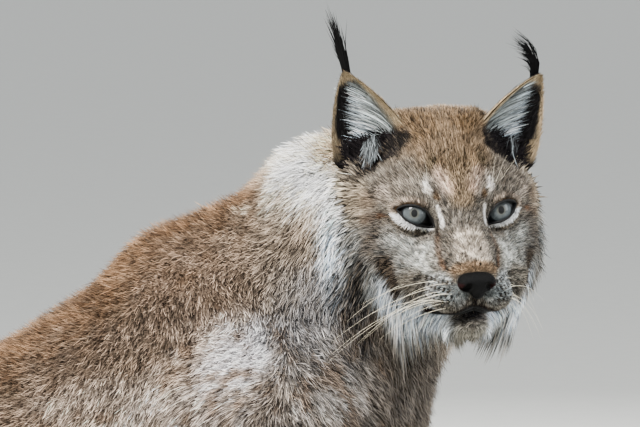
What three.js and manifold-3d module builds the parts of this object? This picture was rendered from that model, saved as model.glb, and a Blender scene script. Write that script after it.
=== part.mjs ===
// A life-size Eurasian lynx, sitting upright with its head turned to its right.
// Millimetres, +X the way the body faces, +Y its left, +Z up. The floor is z = 0.
import * as THREE from "three";
import { mergeVertices } from "three/addons/utils/BufferGeometryUtils.js";
import Module from "manifold-3d";

const wasm = await Module();
wasm.setup();

// Driving sizes
const GAP = 0.3; // between neighbouring pieces
const CURVED_GAP = 0.8; // the same where both sides are curved, as their facets differ
const TOUCH_APART = 0.03; // how far a touching corner is drawn back
const SMOOTHED = 0.06; // how far simplifying may move a surface
const LOCK_CLEAR = 1.2; // between a lock and the body that it hangs over
const FLOOR_SHIFT = [124.5, 0, 0]; // puts the middle of the whole animal over the origin
const HEAD_AT = [192.8, -98, 595]; // the point midway between the eyes
const HEAD_TURN = -77; // degrees, to the animal's right
const HEAD_NOD = 6; // degrees, nose down
const HEAD_ROLL = 2; // degrees, its left side up
const EYE_R = 14;
const EYE_AT = [-5, 30.5, 1.5]; // the left eyeball's centre
const EYE_TURN = 15; // degrees that each eye looks outwards
const EYE_LIFT = 8; // degrees that each eye looks up
const LID = 2; // thickness of the lids
const EYE_OPENING = { outer: [12.5, 4], inner: [-13.2, -8], upper: 10.5, lower: -10.5 }; // outwards, up
const FORELEG_Y = 70;
const HINDLEG_Y = 112;
const FOREFOOT_LEAD = { left: 0, right: 16 };
const HINDFOOT_LEAD = { left: 0, right: 10 };
const SIDES = { left: 1, right: -1 };

// Flesh and coat as rounded bars: from, to, radius at each end, and how softly it joins.
const TORSO_SQUASH = 0.84;
const TORSO = {
  breast: [[70, 0, 432], [20, 0, 455], 102, 124, 6],
  ribs: [[20, 0, 455], [-95, 0, 383], 124, 122, 6],
  loin: [[-95, 0, 383], [-200, 0, 290], 122, 121, 6],
  rump: [[-200, 0, 290], [-282, 0, 185], 121, 130, 6],
  seat: [[-282, 0, 185], [-298, 0, 116], 130, 123, 6],
  neck: [[70, 2, 480], [118, 8, 555], 99, 98, 40],
  withers: [[-14, 0, 542], [24, 0, 554], 34, 32, 44],
};

// The bars of one foreleg, mirrored for the other.
function forelegBars(side) {
  const y = SIDES[side] * FORELEG_Y;
  const out = SIDES[side];
  const lead = FOREFOOT_LEAD[side];
  return [
    [[58, y, 440], [40, y + out * 14, 325], 60, 53, 46],
    [[40, y + out * 14, 325], [78 + lead / 2, y + out * 2, 110], 50, 35, 30],
    [[78 + lead / 2, y + out * 2, 110], [92 + lead, y, 66], 34, 34, 20],
    [[92 + lead, y, 62], [128 + lead, y + out * 2, 34], 34, 33, 18],
  ];
}

// The bars of one hind leg, folded as it sits.
function hindlegBars(side) {
  const y = SIDES[side] * HINDLEG_Y;
  const out = SIDES[side];
  const lead = HINDFOOT_LEAD[side];
  return [
    [[-262, y - out * 34, 165], [-142, y - out * 8, 190], 88, 66, 40],
    [[-142, y - out * 8, 190], [-128, y - out * 4, 178], 62, 58, 30],
    [[-136, y - out * 2, 165], [-250, y, 58], 52, 37, 26],
    [[-258, y, 36], [-120 + lead, y + out * 3, 27], 32, 30, 18],
    [[-120 + lead, y + out * 3, 27], [-84 + lead, y + out * 5, 25], 31, 33, 14],
  ];
}

// Feet: the broad pad, then four toes from it, the middle two reaching furthest.
const TOES = [
  { off: -31, reach: 30, r: 14.5 },
  { off: -11, reach: 42, r: 16 },
  { off: 11, reach: 42, r: 16 },
  { off: 31, reach: 30, r: 14.5 },
];
const FEET = {};
for (const side of Object.keys(SIDES)) {
  const out = SIDES[side];
  FEET["forefoot_" + side] = [128 + FOREFOOT_LEAD[side], out * (FORELEG_Y + 3), 1];
  FEET["hindfoot_" + side] = [-84 + HINDFOOT_LEAD[side], out * (HINDLEG_Y + 6), 0.92];
}

const TAIL = [
  [[-372, 0, 96], [-432, -24, 52], 40, 34, 30],
  [[-432, -24, 52], [-474, -70, 35], 34, 33, 12],
  [[-474, -70, 35], [-484, -124, 31], 33, 29, 12],
];
const TAIL_TIP = { at: [-480, -104, 32], along: [-0.18, -0.98, 0] };

// The head in its own frame: x to the nose, y to its left, z up, from midway between the eyes.
// Each entry is centre, radii and how softly it joins. Those with a y come in pairs.
const SKULL = {
  cranium: [[-62, 0, 10], [72, 66, 62], 10],
  crown: [[-58, 28, 34], [40, 34, 36], 12],
  forehead: [[-26, 0, 16], [34, 44, 44], 14],
  brow: [[-12, 26, 14], [19, 21, 14], 10],
  temple: [[-44, 46, 4], [38, 26, 34], 14],
  underEye: [[-12, 32, -24], [22, 22, 17], 10],
  cheek: [[-34, 41, -30], [36, 31, 40], 14],
  jowl: [[-2, 34, -48], [32, 20, 27], 14],
  ruffCore: [[-62, 50, -32], [36, 28, 48], 14],
  snout: [[24, 0, -44], [30, 26, 22], 12],
  whiskerPad: [[36, 15, -52], [22, 17, 15], 8],
  chin: [[32, 0, -74], [21, 17, 11], 10],
  jaw: [[-8, 0, -64], [42, 38, 25], 14],
};
const BRIDGE = [[0, 0, 6], [40, 0, -33], 20, 18, 12];
const HEAD_JOIN = 18; // how softly the head meets the neck
const EYE_HOLLOW = { r: 13, soft: 4 }; // the socket that the lids stand in

// The nose pad
const NOSE = {
  top: [[56, 0, -41], [9, 11.5, 8], 5],
  wing: [[57, 7.2, -42], [8, 6, 6.5], 4],
  base: [[60, 0, -51], [6, 5.5, 7], 5],
};
const NOSTRIL = [[67, 6.2, -42], [58, 11, -44.5], 2.7, 2.1]; // a bar that is cut out of each side
const PHILTRUM = [[68.5, 0, -42], [66.5, 0, -60], 1.5, 1.5]; // the groove below, to the mouth

// The ears' cups, each in its own attitude.
const EAR = {
  height: 61,
  halfWidth: 28,
  curl: 72, // degrees that the cup wraps to each side of its middle
  depth: 16,
  thick: 5,
  root: 18, // length below the head's surface
};
const EAR_POSE = {
  right: { base: [-55, -49, 41], tip: [-61, -69, 99], faces: [0.9, -0.38, 0.12] },
  left: { base: [-55, 49, 37], tip: [-61, 78, 89], faces: [0.88, 0.42, 0.12] },
};

// Locks: how many, how long, how wide and how thick, and where they grow
const TUFT = { count: 6, length: 43, width: 4.8, thick: 2.8, sunk: 7 };
const TUFT_LEAN = { right: [0, 0.12, 0.6], left: [0, -0.35, 0.5] }; // added to the ear's own direction
const TUFT_BEND = { right: [0, -1, 0], left: [3, -17, -5] };
const EAR_HAIR = { count: 4, length: 37, width: 9, thick: 2.8 };
const RUFF = { tiers: 3, perTier: 8, width: 20, thick: 8, sunk: 8, lift: 0.5 };
const RUFF_LINE = [
  [-50, 74, 14],
  [-46, 80, -22],
  [-34, 70, -58],
  [-6, 46, -80],
  [22, 22, -86],
];
const BEARD = { count: 7, length: 19, width: 10, thick: 5 };

// Small vector helpers on plain arrays
const add = (a, b, s = 1) => [a[0] + s * b[0], a[1] + s * b[1], a[2] + s * b[2]];
const sub = (a, b) => add(a, b, -1);
const dot = (a, b) => a[0] * b[0] + a[1] * b[1] + a[2] * b[2];
const scale = (a, s) => [a[0] * s, a[1] * s, a[2] * s];
const unit = (a) => scale(a, 1 / Math.hypot(...a));
const cross = (a, b) => [
  a[1] * b[2] - a[2] * b[1],
  a[2] * b[0] - a[0] * b[2],
  a[0] * b[1] - a[1] * b[0],
];
const mix = (a, b, t) => a + (b - a) * t;
const clamp = (x, low, high) => Math.min(high, Math.max(low, x));
const smoothstep = (t) => {
  const c = clamp(t, 0, 1);
  return c * c * (3 - 2 * c);
};
const radians = THREE.MathUtils.degToRad;

// The head's place: its frame turned, nodded and moved to the neck.
const headMatrix = new THREE.Matrix4()
  .makeTranslation(...HEAD_AT)
  .multiply(new THREE.Matrix4().makeRotationZ(radians(HEAD_TURN)))
  .multiply(new THREE.Matrix4().makeRotationY(radians(HEAD_NOD)))
  .multiply(new THREE.Matrix4().makeRotationX(radians(HEAD_ROLL)));
const headInverse = headMatrix.clone().invert();
const moved = (matrix, p) => new THREE.Vector3(...p).applyMatrix4(matrix).toArray();
const toHead = (p) => moved(headInverse, p);
const fromHead = (p) => moved(headMatrix, p);
const headDirection = (d) => sub(fromHead(d), fromHead([0, 0, 0]));

// Distances to a bar and to an egg, and their soft joins
function bar(p, [a, b, ra, rb]) {
  const ab = sub(b, a);
  const t = clamp(dot(sub(p, a), ab) / dot(ab, ab), 0, 1);
  return Math.hypot(...sub(p, add(a, ab, t))) - mix(ra, rb, t);
}
function egg(p, c, r) {
  const q = sub(p, c);
  const k0 = Math.hypot(q[0] / r[0], q[1] / r[1], q[2] / r[2]);
  const k1 = Math.hypot(q[0] / r[0] ** 2, q[1] / r[1] ** 2, q[2] / r[2] ** 2);
  return k1 < 1e-9 ? -Math.min(...r) : (k0 * (k0 - 1)) / k1;
}
function softUnion(a, b, k) {
  const h = Math.max(k - Math.abs(a - b), 0);
  return Math.min(a, b) - (h * h) / (4 * k);
}
const softCut = (a, b, k) => -softUnion(-a, b, k);

function torsoField(p) {
  const q = [p[0], p[1] / TORSO_SQUASH, p[2]];
  let d = Infinity;
  for (const piece of Object.values(TORSO)) {
    d = d === Infinity ? bar(q, piece) : softUnion(d, bar(q, piece), piece[4]);
  }
  return d * 0.92;
}

function footField(p, [x, y, size]) {
  let d = egg(p, [x, y, 22], [50 * size, 41 * size, 27]);
  for (const toe of TOES) {
    const start = [x + 4, y + toe.off * 0.72 * size, 22];
    const end = [x + toe.reach * size, y + toe.off * size, toe.r + 0.5];
    d = softUnion(d, bar(p, [start, end, toe.r * size, toe.r * size]), 6);
  }
  return d;
}

function bodyField(p) {
  let d = torsoField(p);
  for (const side of Object.keys(SIDES)) {
    for (const piece of [...forelegBars(side), ...hindlegBars(side)]) {
      d = softUnion(d, bar(p, piece), piece[4]);
    }
  }
  for (const foot of Object.values(FEET)) d = softUnion(d, footField(p, foot), 12);
  for (const piece of TAIL) d = softUnion(d, bar(p, piece), piece[4]);
  return d;
}

function eyeCentre(side) {
  return [EYE_AT[0], SIDES[side] * EYE_AT[1], EYE_AT[2]];
}
function eyeAxis(side) {
  const turn = radians(EYE_TURN);
  const lift = radians(EYE_LIFT);
  return [Math.cos(turn) * Math.cos(lift), SIDES[side] * Math.sin(turn) * Math.cos(lift), Math.sin(lift)];
}

function skullField(q) {
  const folded = [q[0], Math.abs(q[1]), q[2]];
  let d = Infinity;
  for (const [centre, radii, soft] of Object.values(SKULL)) {
    const e = egg(centre[1] ? folded : q, centre, radii);
    d = d === Infinity ? e : softUnion(d, e, soft);
  }
  d = softUnion(d, bar(q, BRIDGE), BRIDGE[4]);
  const socket = Math.hypot(...sub(folded, eyeCentre("left"))) - EYE_HOLLOW.r;
  return softCut(d, socket, EYE_HOLLOW.soft);
}

function wholeField(p) {
  return softUnion(bodyField(p), skullField(toHead(p)), HEAD_JOIN);
}

function noseField(q) {
  const folded = [q[0], Math.abs(q[1]), q[2]];
  let d = egg(q, ...NOSE.top);
  d = softUnion(d, egg(folded, ...NOSE.wing), NOSE.wing[2]);
  return softUnion(d, egg(q, ...NOSE.base), NOSE.base[2]);
}

// The height of the mouth's line: it dips under the whisker pads and lifts at the corners.
function mouthHeight(q) {
  const y = Math.abs(q[1]);
  return -61.5 - 6 * smoothstep(y / 22) + 5 * smoothstep((y - 24) / 14);
}

// Stops of a grid along one axis, closer together inside the fine stretch, if there is one.
function gridStops(low, high, step, fine) {
  const stretches = fine ? [[low, fine[0], step], [fine[0], fine[1], fine[2]], [fine[1], high, step]] : [[low, high, step]];
  const stops = [low];
  for (const [from, to, pitch] of stretches) {
    const count = Math.max(1, Math.round((to - from) / pitch));
    for (let n = 1; n <= count; n++) stops.push(mix(from, to, n / count));
  }
  return stops;
}

// A closed mesh of a field's zero surface, on a grid of steps in a frame of its own.
function meshField(field, { matrix = new THREE.Matrix4(), low, high, step, fine = [], level = 0 }) {
  const stops = [0, 1, 2].map((i) => gridStops(low[i], high[i], step[i], fine[i]));
  const place = (i, j, k) => [stops[0][i], stops[1][j], stops[2][k]];
  const world = (q) => moved(matrix, q);
  const [nx, ny, nz] = stops.map((s) => s.length);
  const values = new Float64Array(nx * ny * nz);
  const at = (i, j, k) => (i * ny + j) * nz + k;
  for (let i = 0; i < nx; i++) {
    for (let j = 0; j < ny; j++) {
      for (let k = 0; k < nz; k++) {
        const edge = i === 0 || j === 0 || k === 0 || i === nx - 1 || j === ny - 1 || k === nz - 1;
        values[at(i, j, k)] = edge ? 1 : field(world(place(i, j, k))) - level;
      }
    }
  }
  const points = [];
  const cellPoint = new Map();
  const pointOf = (i, j, k) => {
    const key = at(i, j, k);
    if (cellPoint.has(key)) return cellPoint.get(key);
    let sum = [0, 0, 0];
    let hits = 0;
    let outer = i === 0 || j === 0 || k === 0 || i === nx - 2 || j === ny - 2 || k === nz - 2;
    for (const [a, b] of CELL_EDGES) {
      const va = values[at(i + a[0], j + a[1], k + a[2])];
      const vb = values[at(i + b[0], j + b[1], k + b[2])];
      if (va < 0 === vb < 0) continue;
      const t = va / (va - vb);
      sum = add(sum, [0, 1, 2].map((n) => mix(a[n], b[n], t)));
      hits++;
    }
    const corner = place(i, j, k);
    const pitch = sub(place(i + 1, j + 1, k + 1), corner);
    let p = world(corner.map((c, n) => c + (sum[n] / hits) * pitch[n]));
    if (!outer) p = ontoSurface(field, p, level, Math.min(...pitch) * 0.6);
    points.push(p);
    cellPoint.set(key, points.length - 1);
    return points.length - 1;
  };
  const triangles = [];
  const quad = (corners, flip) => {
    const [a, b, c, d] = corners.map((c) => pointOf(...c));
    const short = Math.hypot(...sub(points[a], points[c])) < Math.hypot(...sub(points[b], points[d]));
    const made = short ? [[a, b, c], [a, c, d]] : [[a, b, d], [b, c, d]];
    for (const [x, y, z] of made) triangles.push(...(flip ? [x, z, y] : [x, y, z]));
  };
  for (let i = 0; i < nx - 1; i++) {
    for (let j = 0; j < ny - 1; j++) {
      for (let k = 0; k < nz - 1; k++) {
        const inside = values[at(i, j, k)] < 0;
        if (inside !== values[at(i + 1, j, k)] < 0)
          quad([[i, j - 1, k - 1], [i, j, k - 1], [i, j, k], [i, j - 1, k]], !inside);
        if (inside !== values[at(i, j + 1, k)] < 0)
          quad([[i - 1, j, k - 1], [i - 1, j, k], [i, j, k], [i, j, k - 1]], !inside);
        if (inside !== values[at(i, j, k + 1)] < 0)
          quad([[i - 1, j - 1, k], [i, j - 1, k], [i, j, k], [i - 1, j, k]], !inside);
      }
    }
  }
  return solid(points.flat(), triangles);
}
const CORNERS = [0, 1, 2, 3, 4, 5, 6, 7].map((n) => [n & 1, (n >> 1) & 1, (n >> 2) & 1]);
const CELL_EDGES = CORNERS.flatMap((a) =>
  CORNERS.filter((b) => dot(sub(b, a), sub(b, a)) === 1 && dot(b, [1, 1, 1]) > dot(a, [1, 1, 1])).map((b) => [a, b]),
);

// The field's slope at p, and p moved onto the field's level by at most reach.
function slope(field, p) {
  const e = 0.5;
  return [
    (field([p[0] + e, p[1], p[2]]) - field([p[0] - e, p[1], p[2]])) / (2 * e),
    (field([p[0], p[1] + e, p[2]]) - field([p[0], p[1] - e, p[2]])) / (2 * e),
    (field([p[0], p[1], p[2] + e]) - field([p[0], p[1], p[2] - e])) / (2 * e),
  ];
}
function ontoSurface(field, start, level, reach) {
  let p = start;
  for (let n = 0; n < 4; n++) {
    const g = slope(field, p);
    p = add(p, g, -(field(p) - level) / Math.max(dot(g, g), 0.05));
    const off = sub(p, start);
    const far = Math.hypot(...off);
    if (far > reach) p = add(start, off, reach / far);
  }
  return p;
}

// Solids from meshes, and back
function solid(positions, triangles) {
  return new wasm.Manifold(
    new wasm.Mesh({
      numProp: 3,
      vertProperties: new Float32Array(positions),
      triVerts: new Uint32Array(triangles),
    }),
  );
}
function solidOf(geometry, matrix = new THREE.Matrix4()) {
  const bare = geometry.clone();
  bare.deleteAttribute("normal");
  bare.deleteAttribute("uv");
  bare.applyMatrix4(matrix);
  const merged = mergeVertices(bare, 1e-3);
  return solid([...merged.attributes.position.array], [...merged.index.array]);
}
const joined = (pieces) => wasm.Manifold.union(pieces);
// The largest closed piece, with the slivers that the cuts left taken away
function largest(made) {
  const pieces = made.decompose();
  const biggest = pieces.sort((a, b) => b.volume() - a.volume())[0];
  return biggest.asOriginal().simplify(SMOOTHED);
}
function geometryOf(made) {
  const mesh = made.getMesh();
  partTouching(mesh);
  const geometry = new THREE.BufferGeometry();
  geometry.setAttribute("position", new THREE.BufferAttribute(mesh.vertProperties, 3));
  geometry.setIndex(new THREE.BufferAttribute(mesh.triVerts, 1));
  geometry.computeVertexNormals();
  return geometry;
}

// Two sheets of a surface that touch at a corner are drawn a hair's breadth back, so each stays closed.
function partTouching({ vertProperties, triVerts }) {
  const cornerOf = (v) => [...vertProperties.slice(3 * v, 3 * v + 3)];
  const places = new Map();
  for (let v = 0; v < vertProperties.length / 3; v++) {
    const key = cornerOf(v).map((c) => Math.round(c * 200)).join();
    places.set(key, [...(places.get(key) || []), v]);
  }
  const doubled = new Set([...places.values()].filter((group) => group.length > 1).flat());
  const normals = new Map([...doubled].map((v) => [v, [0, 0, 0]]));
  for (let t = 0; t < triVerts.length; t += 3) {
    const face = [...triVerts.slice(t, t + 3)];
    if (!face.some((v) => doubled.has(v))) continue;
    const [a, b, c] = face.map(cornerOf);
    const normal = cross(sub(b, a), sub(c, a));
    for (const v of face) if (doubled.has(v)) normals.set(v, add(normals.get(v), normal));
  }
  for (const [v, normal] of normals) {
    const back = Math.hypot(...normal) > 0 ? unit(normal) : [0, 0, 1];
    vertProperties.set(add(cornerOf(v), back, -TOUCH_APART), 3 * v);
  }
}

// Half of space on the side that the normal points to, beyond a point, as a large block.
function beyond(point, normal, by = GAP / 2) {
  const size = 2400;
  const n = unit(normal);
  const turn = new THREE.Quaternion().setFromUnitVectors(new THREE.Vector3(0, 0, 1), new THREE.Vector3(...n));
  const centre = new THREE.Vector3(...add(point, n, by + size / 2));
  const matrix = new THREE.Matrix4().compose(centre, turn, new THREE.Vector3(1, 1, 1));
  return solidOf(new THREE.BoxGeometry(size, size, size), matrix);
}
const both = (normal) => scale(normal, -1);

// The planes that part the body. Each is a point and the normal towards the piece it frees.
const PLANES = {
  neck: [[42, 0, 606], [0.85, 0, 0.53]],
  head: [fromHead([-108, 0, 75]), headDirection([0.943, 0, 0.333])],
  muzzle: [fromHead([15, 0, 0]), headDirection([0.985, 0, -0.17])],
  foreleg: [[60, 0, 338], [0.28, 0, -0.96]],
  forefoot: [[90, 0, 78], [0.25, 0, -0.97]],
  hindfoot: [[-180, 0, 66], [0.1, 0, -0.995]],
  thighTop: [[-200, 0, 262], [0.35, 0, -0.94]],
  tail: [[-405, -8, 78], [-0.8, -0.3, -0.5]],
  tailTip: [TAIL_TIP.at, TAIL_TIP.along],
};
const freed = (name) => beyond(...PLANES[name]);
const kept = (name) => beyond(PLANES[name][0], both(PLANES[name][1]));
const floorTop = beyond([0, 0, 0], [0, 0, 1], 0);

function meshBody(low, high, step, level = 0) {
  return meshField(wholeField, { low, high, step: [step, step, step].map((s, i) => step[i] || s), level });
}

// Blocks that hold one leg each: beside the middle, and below the plane of its top.
function legBlock(side, low, high, grow) {
  const y = SIDES[side];
  const centre = new THREE.Vector3((low[0] + high[0]) / 2, (y * (low[1] + high[1])) / 2, (low[2] + high[2]) / 2);
  const size = high.map((h, i) => h - low[i] + 2 * grow);
  return solidOf(new THREE.BoxGeometry(...size), new THREE.Matrix4().setPosition(centre));
}
const FORELEG_BLOCK = [[-60, 6, -20], [240, 220, 420]];
const THIGH_BLOCK = [[-372, 72, -20], [-20, 240, 300]];

const named = {}; // the finished pieces
const cutters = {}; // grown copies that keep the gap

const TRUNK_GRID = [[-470, -190, -25], [210, 190, 640], [38, 30, 38]];
const NECK_GRID = [[-10, -170, 380], [260, 160, 690], [20, 18, 20]];

function makeTrunk() {
  const trunk = meshBody(...TRUNK_GRID);
  let made = trunk.intersect(floorTop).intersect(kept("neck")).intersect(kept("tail"));
  for (const side of Object.keys(SIDES)) {
    made = made.subtract(legBlock(side, ...FORELEG_BLOCK, GAP).intersect(beyond(PLANES.foreleg[0], PLANES.foreleg[1], -GAP / 2)));
    made = made.subtract(legBlock(side, ...THIGH_BLOCK, GAP).intersect(beyond(PLANES.thighTop[0], PLANES.thighTop[1], -GAP / 2)));
  }
  named.torso = largest(made);
}

function makeNeck() {
  named.neck = largest(meshBody(...NECK_GRID).intersect(freed("neck")).intersect(kept("head")));
  const grown = joined([meshBody(...TRUNK_GRID, LOCK_CLEAR), meshBody(...NECK_GRID, LOCK_CLEAR)]);
  cutters.body = grown.subtract(freed("head").intersect(freed("neck")));
}

function makeForelegs() {
  for (const side of Object.keys(SIDES)) {
    const y = SIDES[side];
    const low = [-40, Math.min(y * 6, y * 150), -18];
    const high = [190, Math.max(y * 6, y * 150), 400];
    const leg = meshBody(low, high, [16, 16, 32])
      .intersect(legBlock(side, ...FORELEG_BLOCK, 0))
      .intersect(freed("foreleg"));
    named["foreleg_" + side] = largest(leg.intersect(kept("forefoot")));
    const foot = FEET["forefoot_" + side];
    const around = [[foot[0] - 80, foot[1] - 62, -12], [foot[0] + 75, foot[1] + 62, 100]];
    const fine = meshBody(...around, [15, 11, 13]).intersect(floorTop);
    named["forefoot_" + side] = largest(fine.intersect(freed("forefoot")));
  }
}

function makeHindlegs() {
  for (const side of Object.keys(SIDES)) {
    const y = SIDES[side];
    const low = [-400, Math.min(y * 60, y * 190), -20];
    const high = [-30, Math.max(y * 60, y * 190), 300];
    const thigh = meshBody(low, high, [27, 20, 24])
      .intersect(legBlock(side, ...THIGH_BLOCK, 0))
      .intersect(freed("thighTop"));
    named["thigh_" + side] = largest(thigh.intersect(kept("hindfoot")));
    const foot = FEET["hindfoot_" + side];
    const around = [[-320, foot[1] - 58, -12], [foot[0] + 70, foot[1] + 58, 90]];
    const fine = meshBody(...around, [20, 12, 14])
      .intersect(floorTop)
      .intersect(legBlock(side, ...THIGH_BLOCK, 0));
    named["hindfoot_" + side] = largest(fine.intersect(freed("hindfoot")));
  }
}

function makeTail() {
  const fine = meshBody([-540, -180, -14], [-360, 50, 140], [18, 18, 16])
    .intersect(floorTop)
    .intersect(freed("tail"));
  const tip = fine.intersect(freed("tailTip"));
  named.tail = largest(fine.subtract(beyond(PLANES.tailTip[0], PLANES.tailTip[1], -GAP / 2)));
  named.tail_tip = largest(tip);
}

// The head's cuts are made in its own frame, on a finer grid than the body's.
function meshHead(low, high, step, { field = wholeField, fine, level = 0 } = {}) {
  return meshField(field, { matrix: headMatrix, low, high, step: [step, step, step], fine, level });
}
// The part of the head's grid that is finer, round the eyes: from, to and step along each axis
const FINE_FACE = [[-26, 23, 7], [-60, 60, 7.5], [-32, 31, 7]];
const HEAD_BOX = [[-136, -112, -112], [84, 112, 92]];

// The eye's own frame: outwards, up and along the way it looks, from its centre.
function eyeMatrix(side) {
  const look = new THREE.Vector3(...eyeAxis(side));
  const across = new THREE.Vector3(0, 0, 1).cross(look).normalize();
  const up = look.clone().cross(across);
  const turn = new THREE.Matrix4().makeBasis(across, up, look);
  return headMatrix.clone().multiply(new THREE.Matrix4().setPosition(...eyeCentre(side)).multiply(turn));
}
function eyeBall(side, radius) {
  return solidOf(new THREE.SphereGeometry(radius, 14, 10), eyeMatrix(side));
}

// The almond between the lids, as a block along the way that the eye looks.
function eyeOpening(side) {
  const { outer, inner, upper, lower } = EYE_OPENING;
  const out = (x) => x * SIDES[side];
  const shape = new THREE.Shape();
  shape.moveTo(out(outer[0]), outer[1]);
  shape.bezierCurveTo(out(outer[0] * 0.45), upper, out(inner[0] * 0.7), upper, out(inner[0]), inner[1]);
  shape.bezierCurveTo(out(inner[0] * 0.5), lower, out(outer[0] * 0.35), lower, out(outer[0]), outer[1]);
  const options = { depth: EYE_R * 2, bevelEnabled: false, curveSegments: 9 };
  return solidOf(new THREE.ExtrudeGeometry(shape, options), eyeMatrix(side));
}

// A flat lock: a strip of diamond sections along a bending line, widest near its root, ending in a point.
function makeLock({ root, along, face, bend, length, width, thick, grow = 0 }, steps = 4) {
  const points = [];
  const across = unit(cross(along, face));
  for (let i = 0; i < steps; i++) {
    const t = i / steps;
    const centre = add(add(root, along, length * t), bend, t * t);
    const heading = unit(add(scale(along, length), bend, 2 * t));
    const flat = unit(cross(across, heading));
    const taper = (0.62 + 0.55 * Math.sin(Math.PI * Math.min(1, t + 0.12))) * (1 - t ** 2.4);
    const w = (width * taper) / 2 + grow;
    const h = (thick * (1 - 0.8 * t)) / 2 + grow;
    points.push(add(centre, across, w), add(centre, flat, h), add(centre, across, -w), add(centre, flat, -h));
  }
  points.push(add(add(root, along, length + grow), bend));
  const triangles = [0, 1, 2, 0, 2, 3];
  for (let i = 0; i < steps; i++) {
    for (let n = 0; n < 4; n++) {
      const a = 4 * i + n;
      const b = 4 * i + ((n + 1) % 4);
      if (i < steps - 1) triangles.push(a, a + 4, b, b, a + 4, b + 4);
      else triangles.push(a, 4 * steps, b);
    }
  }
  const made = solid(points.flat(), triangles);
  return made.volume() > 0 ? made : solid(points.flat(), flipped(triangles));
}
function flipped(triangles) {
  const turned = [...triangles];
  for (let i = 0; i < turned.length; i += 3) [turned[i + 1], turned[i + 2]] = [turned[i + 2], turned[i + 1]];
  return turned;
}

// A lock that grows from the coat near a point of the head's frame, laid along a flow and lifted off it.
function coatLock(near, flow, lift, size, grow = 0) {
  const start = ontoSurface(wholeField, fromHead(near), 0, 40);
  const normal = unit(slope(wholeField, start));
  const wanted = headDirection(flow);
  const lie = unit(add(wanted, normal, -dot(wanted, normal)));
  const along = unit(add(lie, normal, lift));
  const root = add(add(start, normal, -size.sunk), lie, -size.sunk * 0.6);
  const bend = scale(add(scale(normal, -0.25), headDirection([0, 0, -0.6])), size.length * 0.35);
  return makeLock({ ...size, root, along, face: normal, bend, grow });
}

// Even numbers between 0 and 1 that look uneven, for the locks' small differences.
const wobble = (n) => (Math.sin(n * 12.9898) * 43758.5453) % 1;

function ruffLocks(side) {
  const line = new THREE.CatmullRomCurve3(RUFF_LINE.map((p) => new THREE.Vector3(p[0], SIDES[side] * p[1], p[2])));
  const locks = [];
  for (let tier = 0; tier < RUFF.tiers; tier++) {
    for (let i = 0; i < RUFF.perTier; i++) {
      const a = (i + 0.5 * (tier % 2) + 0.2) / RUFF.perTier;
      const p = line.getPoint(Math.min(a, 1)).toArray();
      const jawAngle = Math.exp(-(((a - 0.68) / 0.24) ** 2));
      const near = add(p, [-15 * tier * (1 - 0.6 * a), 0, 6 * tier * a]);
      const flow = [mix(-0.8, -0.2, smoothstep(a * 1.3)), 0, mix(-0.75, -1, a)];
      const length = mix(34, 56, jawAngle) * (1 + 0.16 * wobble(7 * tier + i));
      const size = { length, width: RUFF.width, thick: RUFF.thick, sunk: RUFF.sunk };
      locks.push(coatLock(near, flow, RUFF.lift * (1 - 0.35 * a) + 0.1 * wobble(i + 31), size));
    }
  }
  return locks;
}

function beardLocks(grow = 0) {
  return Array.from({ length: BEARD.count }, (_, i) => {
    const s = (2 * i) / (BEARD.count - 1) - 1;
    const near = [30 - 14 * s * s, 15 * s, -88];
    const size = { length: BEARD.length * (1 + 0.2 * wobble(i + 3)), width: BEARD.width, thick: BEARD.thick, sunk: 6 };
    return coatLock(near, [-0.5, 0.25 * s, -1], 0.9, size, grow);
  });
}

// An ear: a cup of skin between a back and a front sheet, narrowing to its tip.
function earFrame(side) {
  const { base, tip, faces } = EAR_POSE[side];
  const up = unit(sub(tip, base));
  const front = unit(add(faces, up, -dot(faces, up)));
  return { base, up, front, across: cross(front, up) };
}
function earPoint(side, h, v, forward) {
  const { base, up, front, across } = earFrame(side);
  const rise = clamp(h / EAR.height, 0, 1);
  const w = EAR.halfWidth * (1 - rise ** 1.5) ** 0.85 * (h < 0 ? 1 + (0.25 * h) / EAR.root : 1) + 1.6;
  const angle = radians(EAR.curl) * v;
  const curl = radians(EAR.curl);
  const back = (EAR.depth * (w / EAR.halfWidth) * (Math.cos(angle) - Math.cos(curl))) / (1 - Math.cos(curl));
  const p = add(add(base, up, h), across, (w * Math.sin(angle)) / Math.sin(curl));
  return fromHead(add(p, front, forward - back));
}
function earCup(side) {
  const rows = 9;
  const columns = 8;
  const points = [];
  for (const sheet of [0, 1]) {
    for (let i = 0; i <= rows; i++) {
      for (let j = 0; j <= columns; j++) {
        const h = mix(-EAR.root, EAR.height, (i / rows) ** 0.9);
        const v = (2 * j) / columns - 1;
        const thick = EAR.thick * (1 - 0.55 * (i / rows)) * (1 - 0.45 * Math.abs(v) ** 3);
        points.push(earPoint(side, h, v, sheet * thick));
      }
    }
  }
  const at = (sheet, i, j) => sheet * (rows + 1) * (columns + 1) + i * (columns + 1) + j;
  const triangles = [];
  const quad = (a, b, c, d) => triangles.push(a, b, c, a, c, d);
  for (let i = 0; i < rows; i++) {
    for (let j = 0; j < columns; j++) {
      quad(at(0, i, j), at(0, i, j + 1), at(0, i + 1, j + 1), at(0, i + 1, j));
      quad(at(1, i, j), at(1, i + 1, j), at(1, i + 1, j + 1), at(1, i, j + 1));
    }
    quad(at(0, i, 0), at(0, i + 1, 0), at(1, i + 1, 0), at(1, i, 0));
    quad(at(0, i, columns), at(1, i, columns), at(1, i + 1, columns), at(0, i + 1, columns));
  }
  for (let j = 0; j < columns; j++) {
    quad(at(0, 0, j), at(1, 0, j), at(1, 0, j + 1), at(0, 0, j + 1));
    quad(at(0, rows, j), at(0, rows, j + 1), at(1, rows, j + 1), at(1, rows, j));
  }
  const made = solid(points.flat(), triangles);
  return made.volume() > 0 ? made : solid(points.flat(), flipped(triangles));
}

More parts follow.
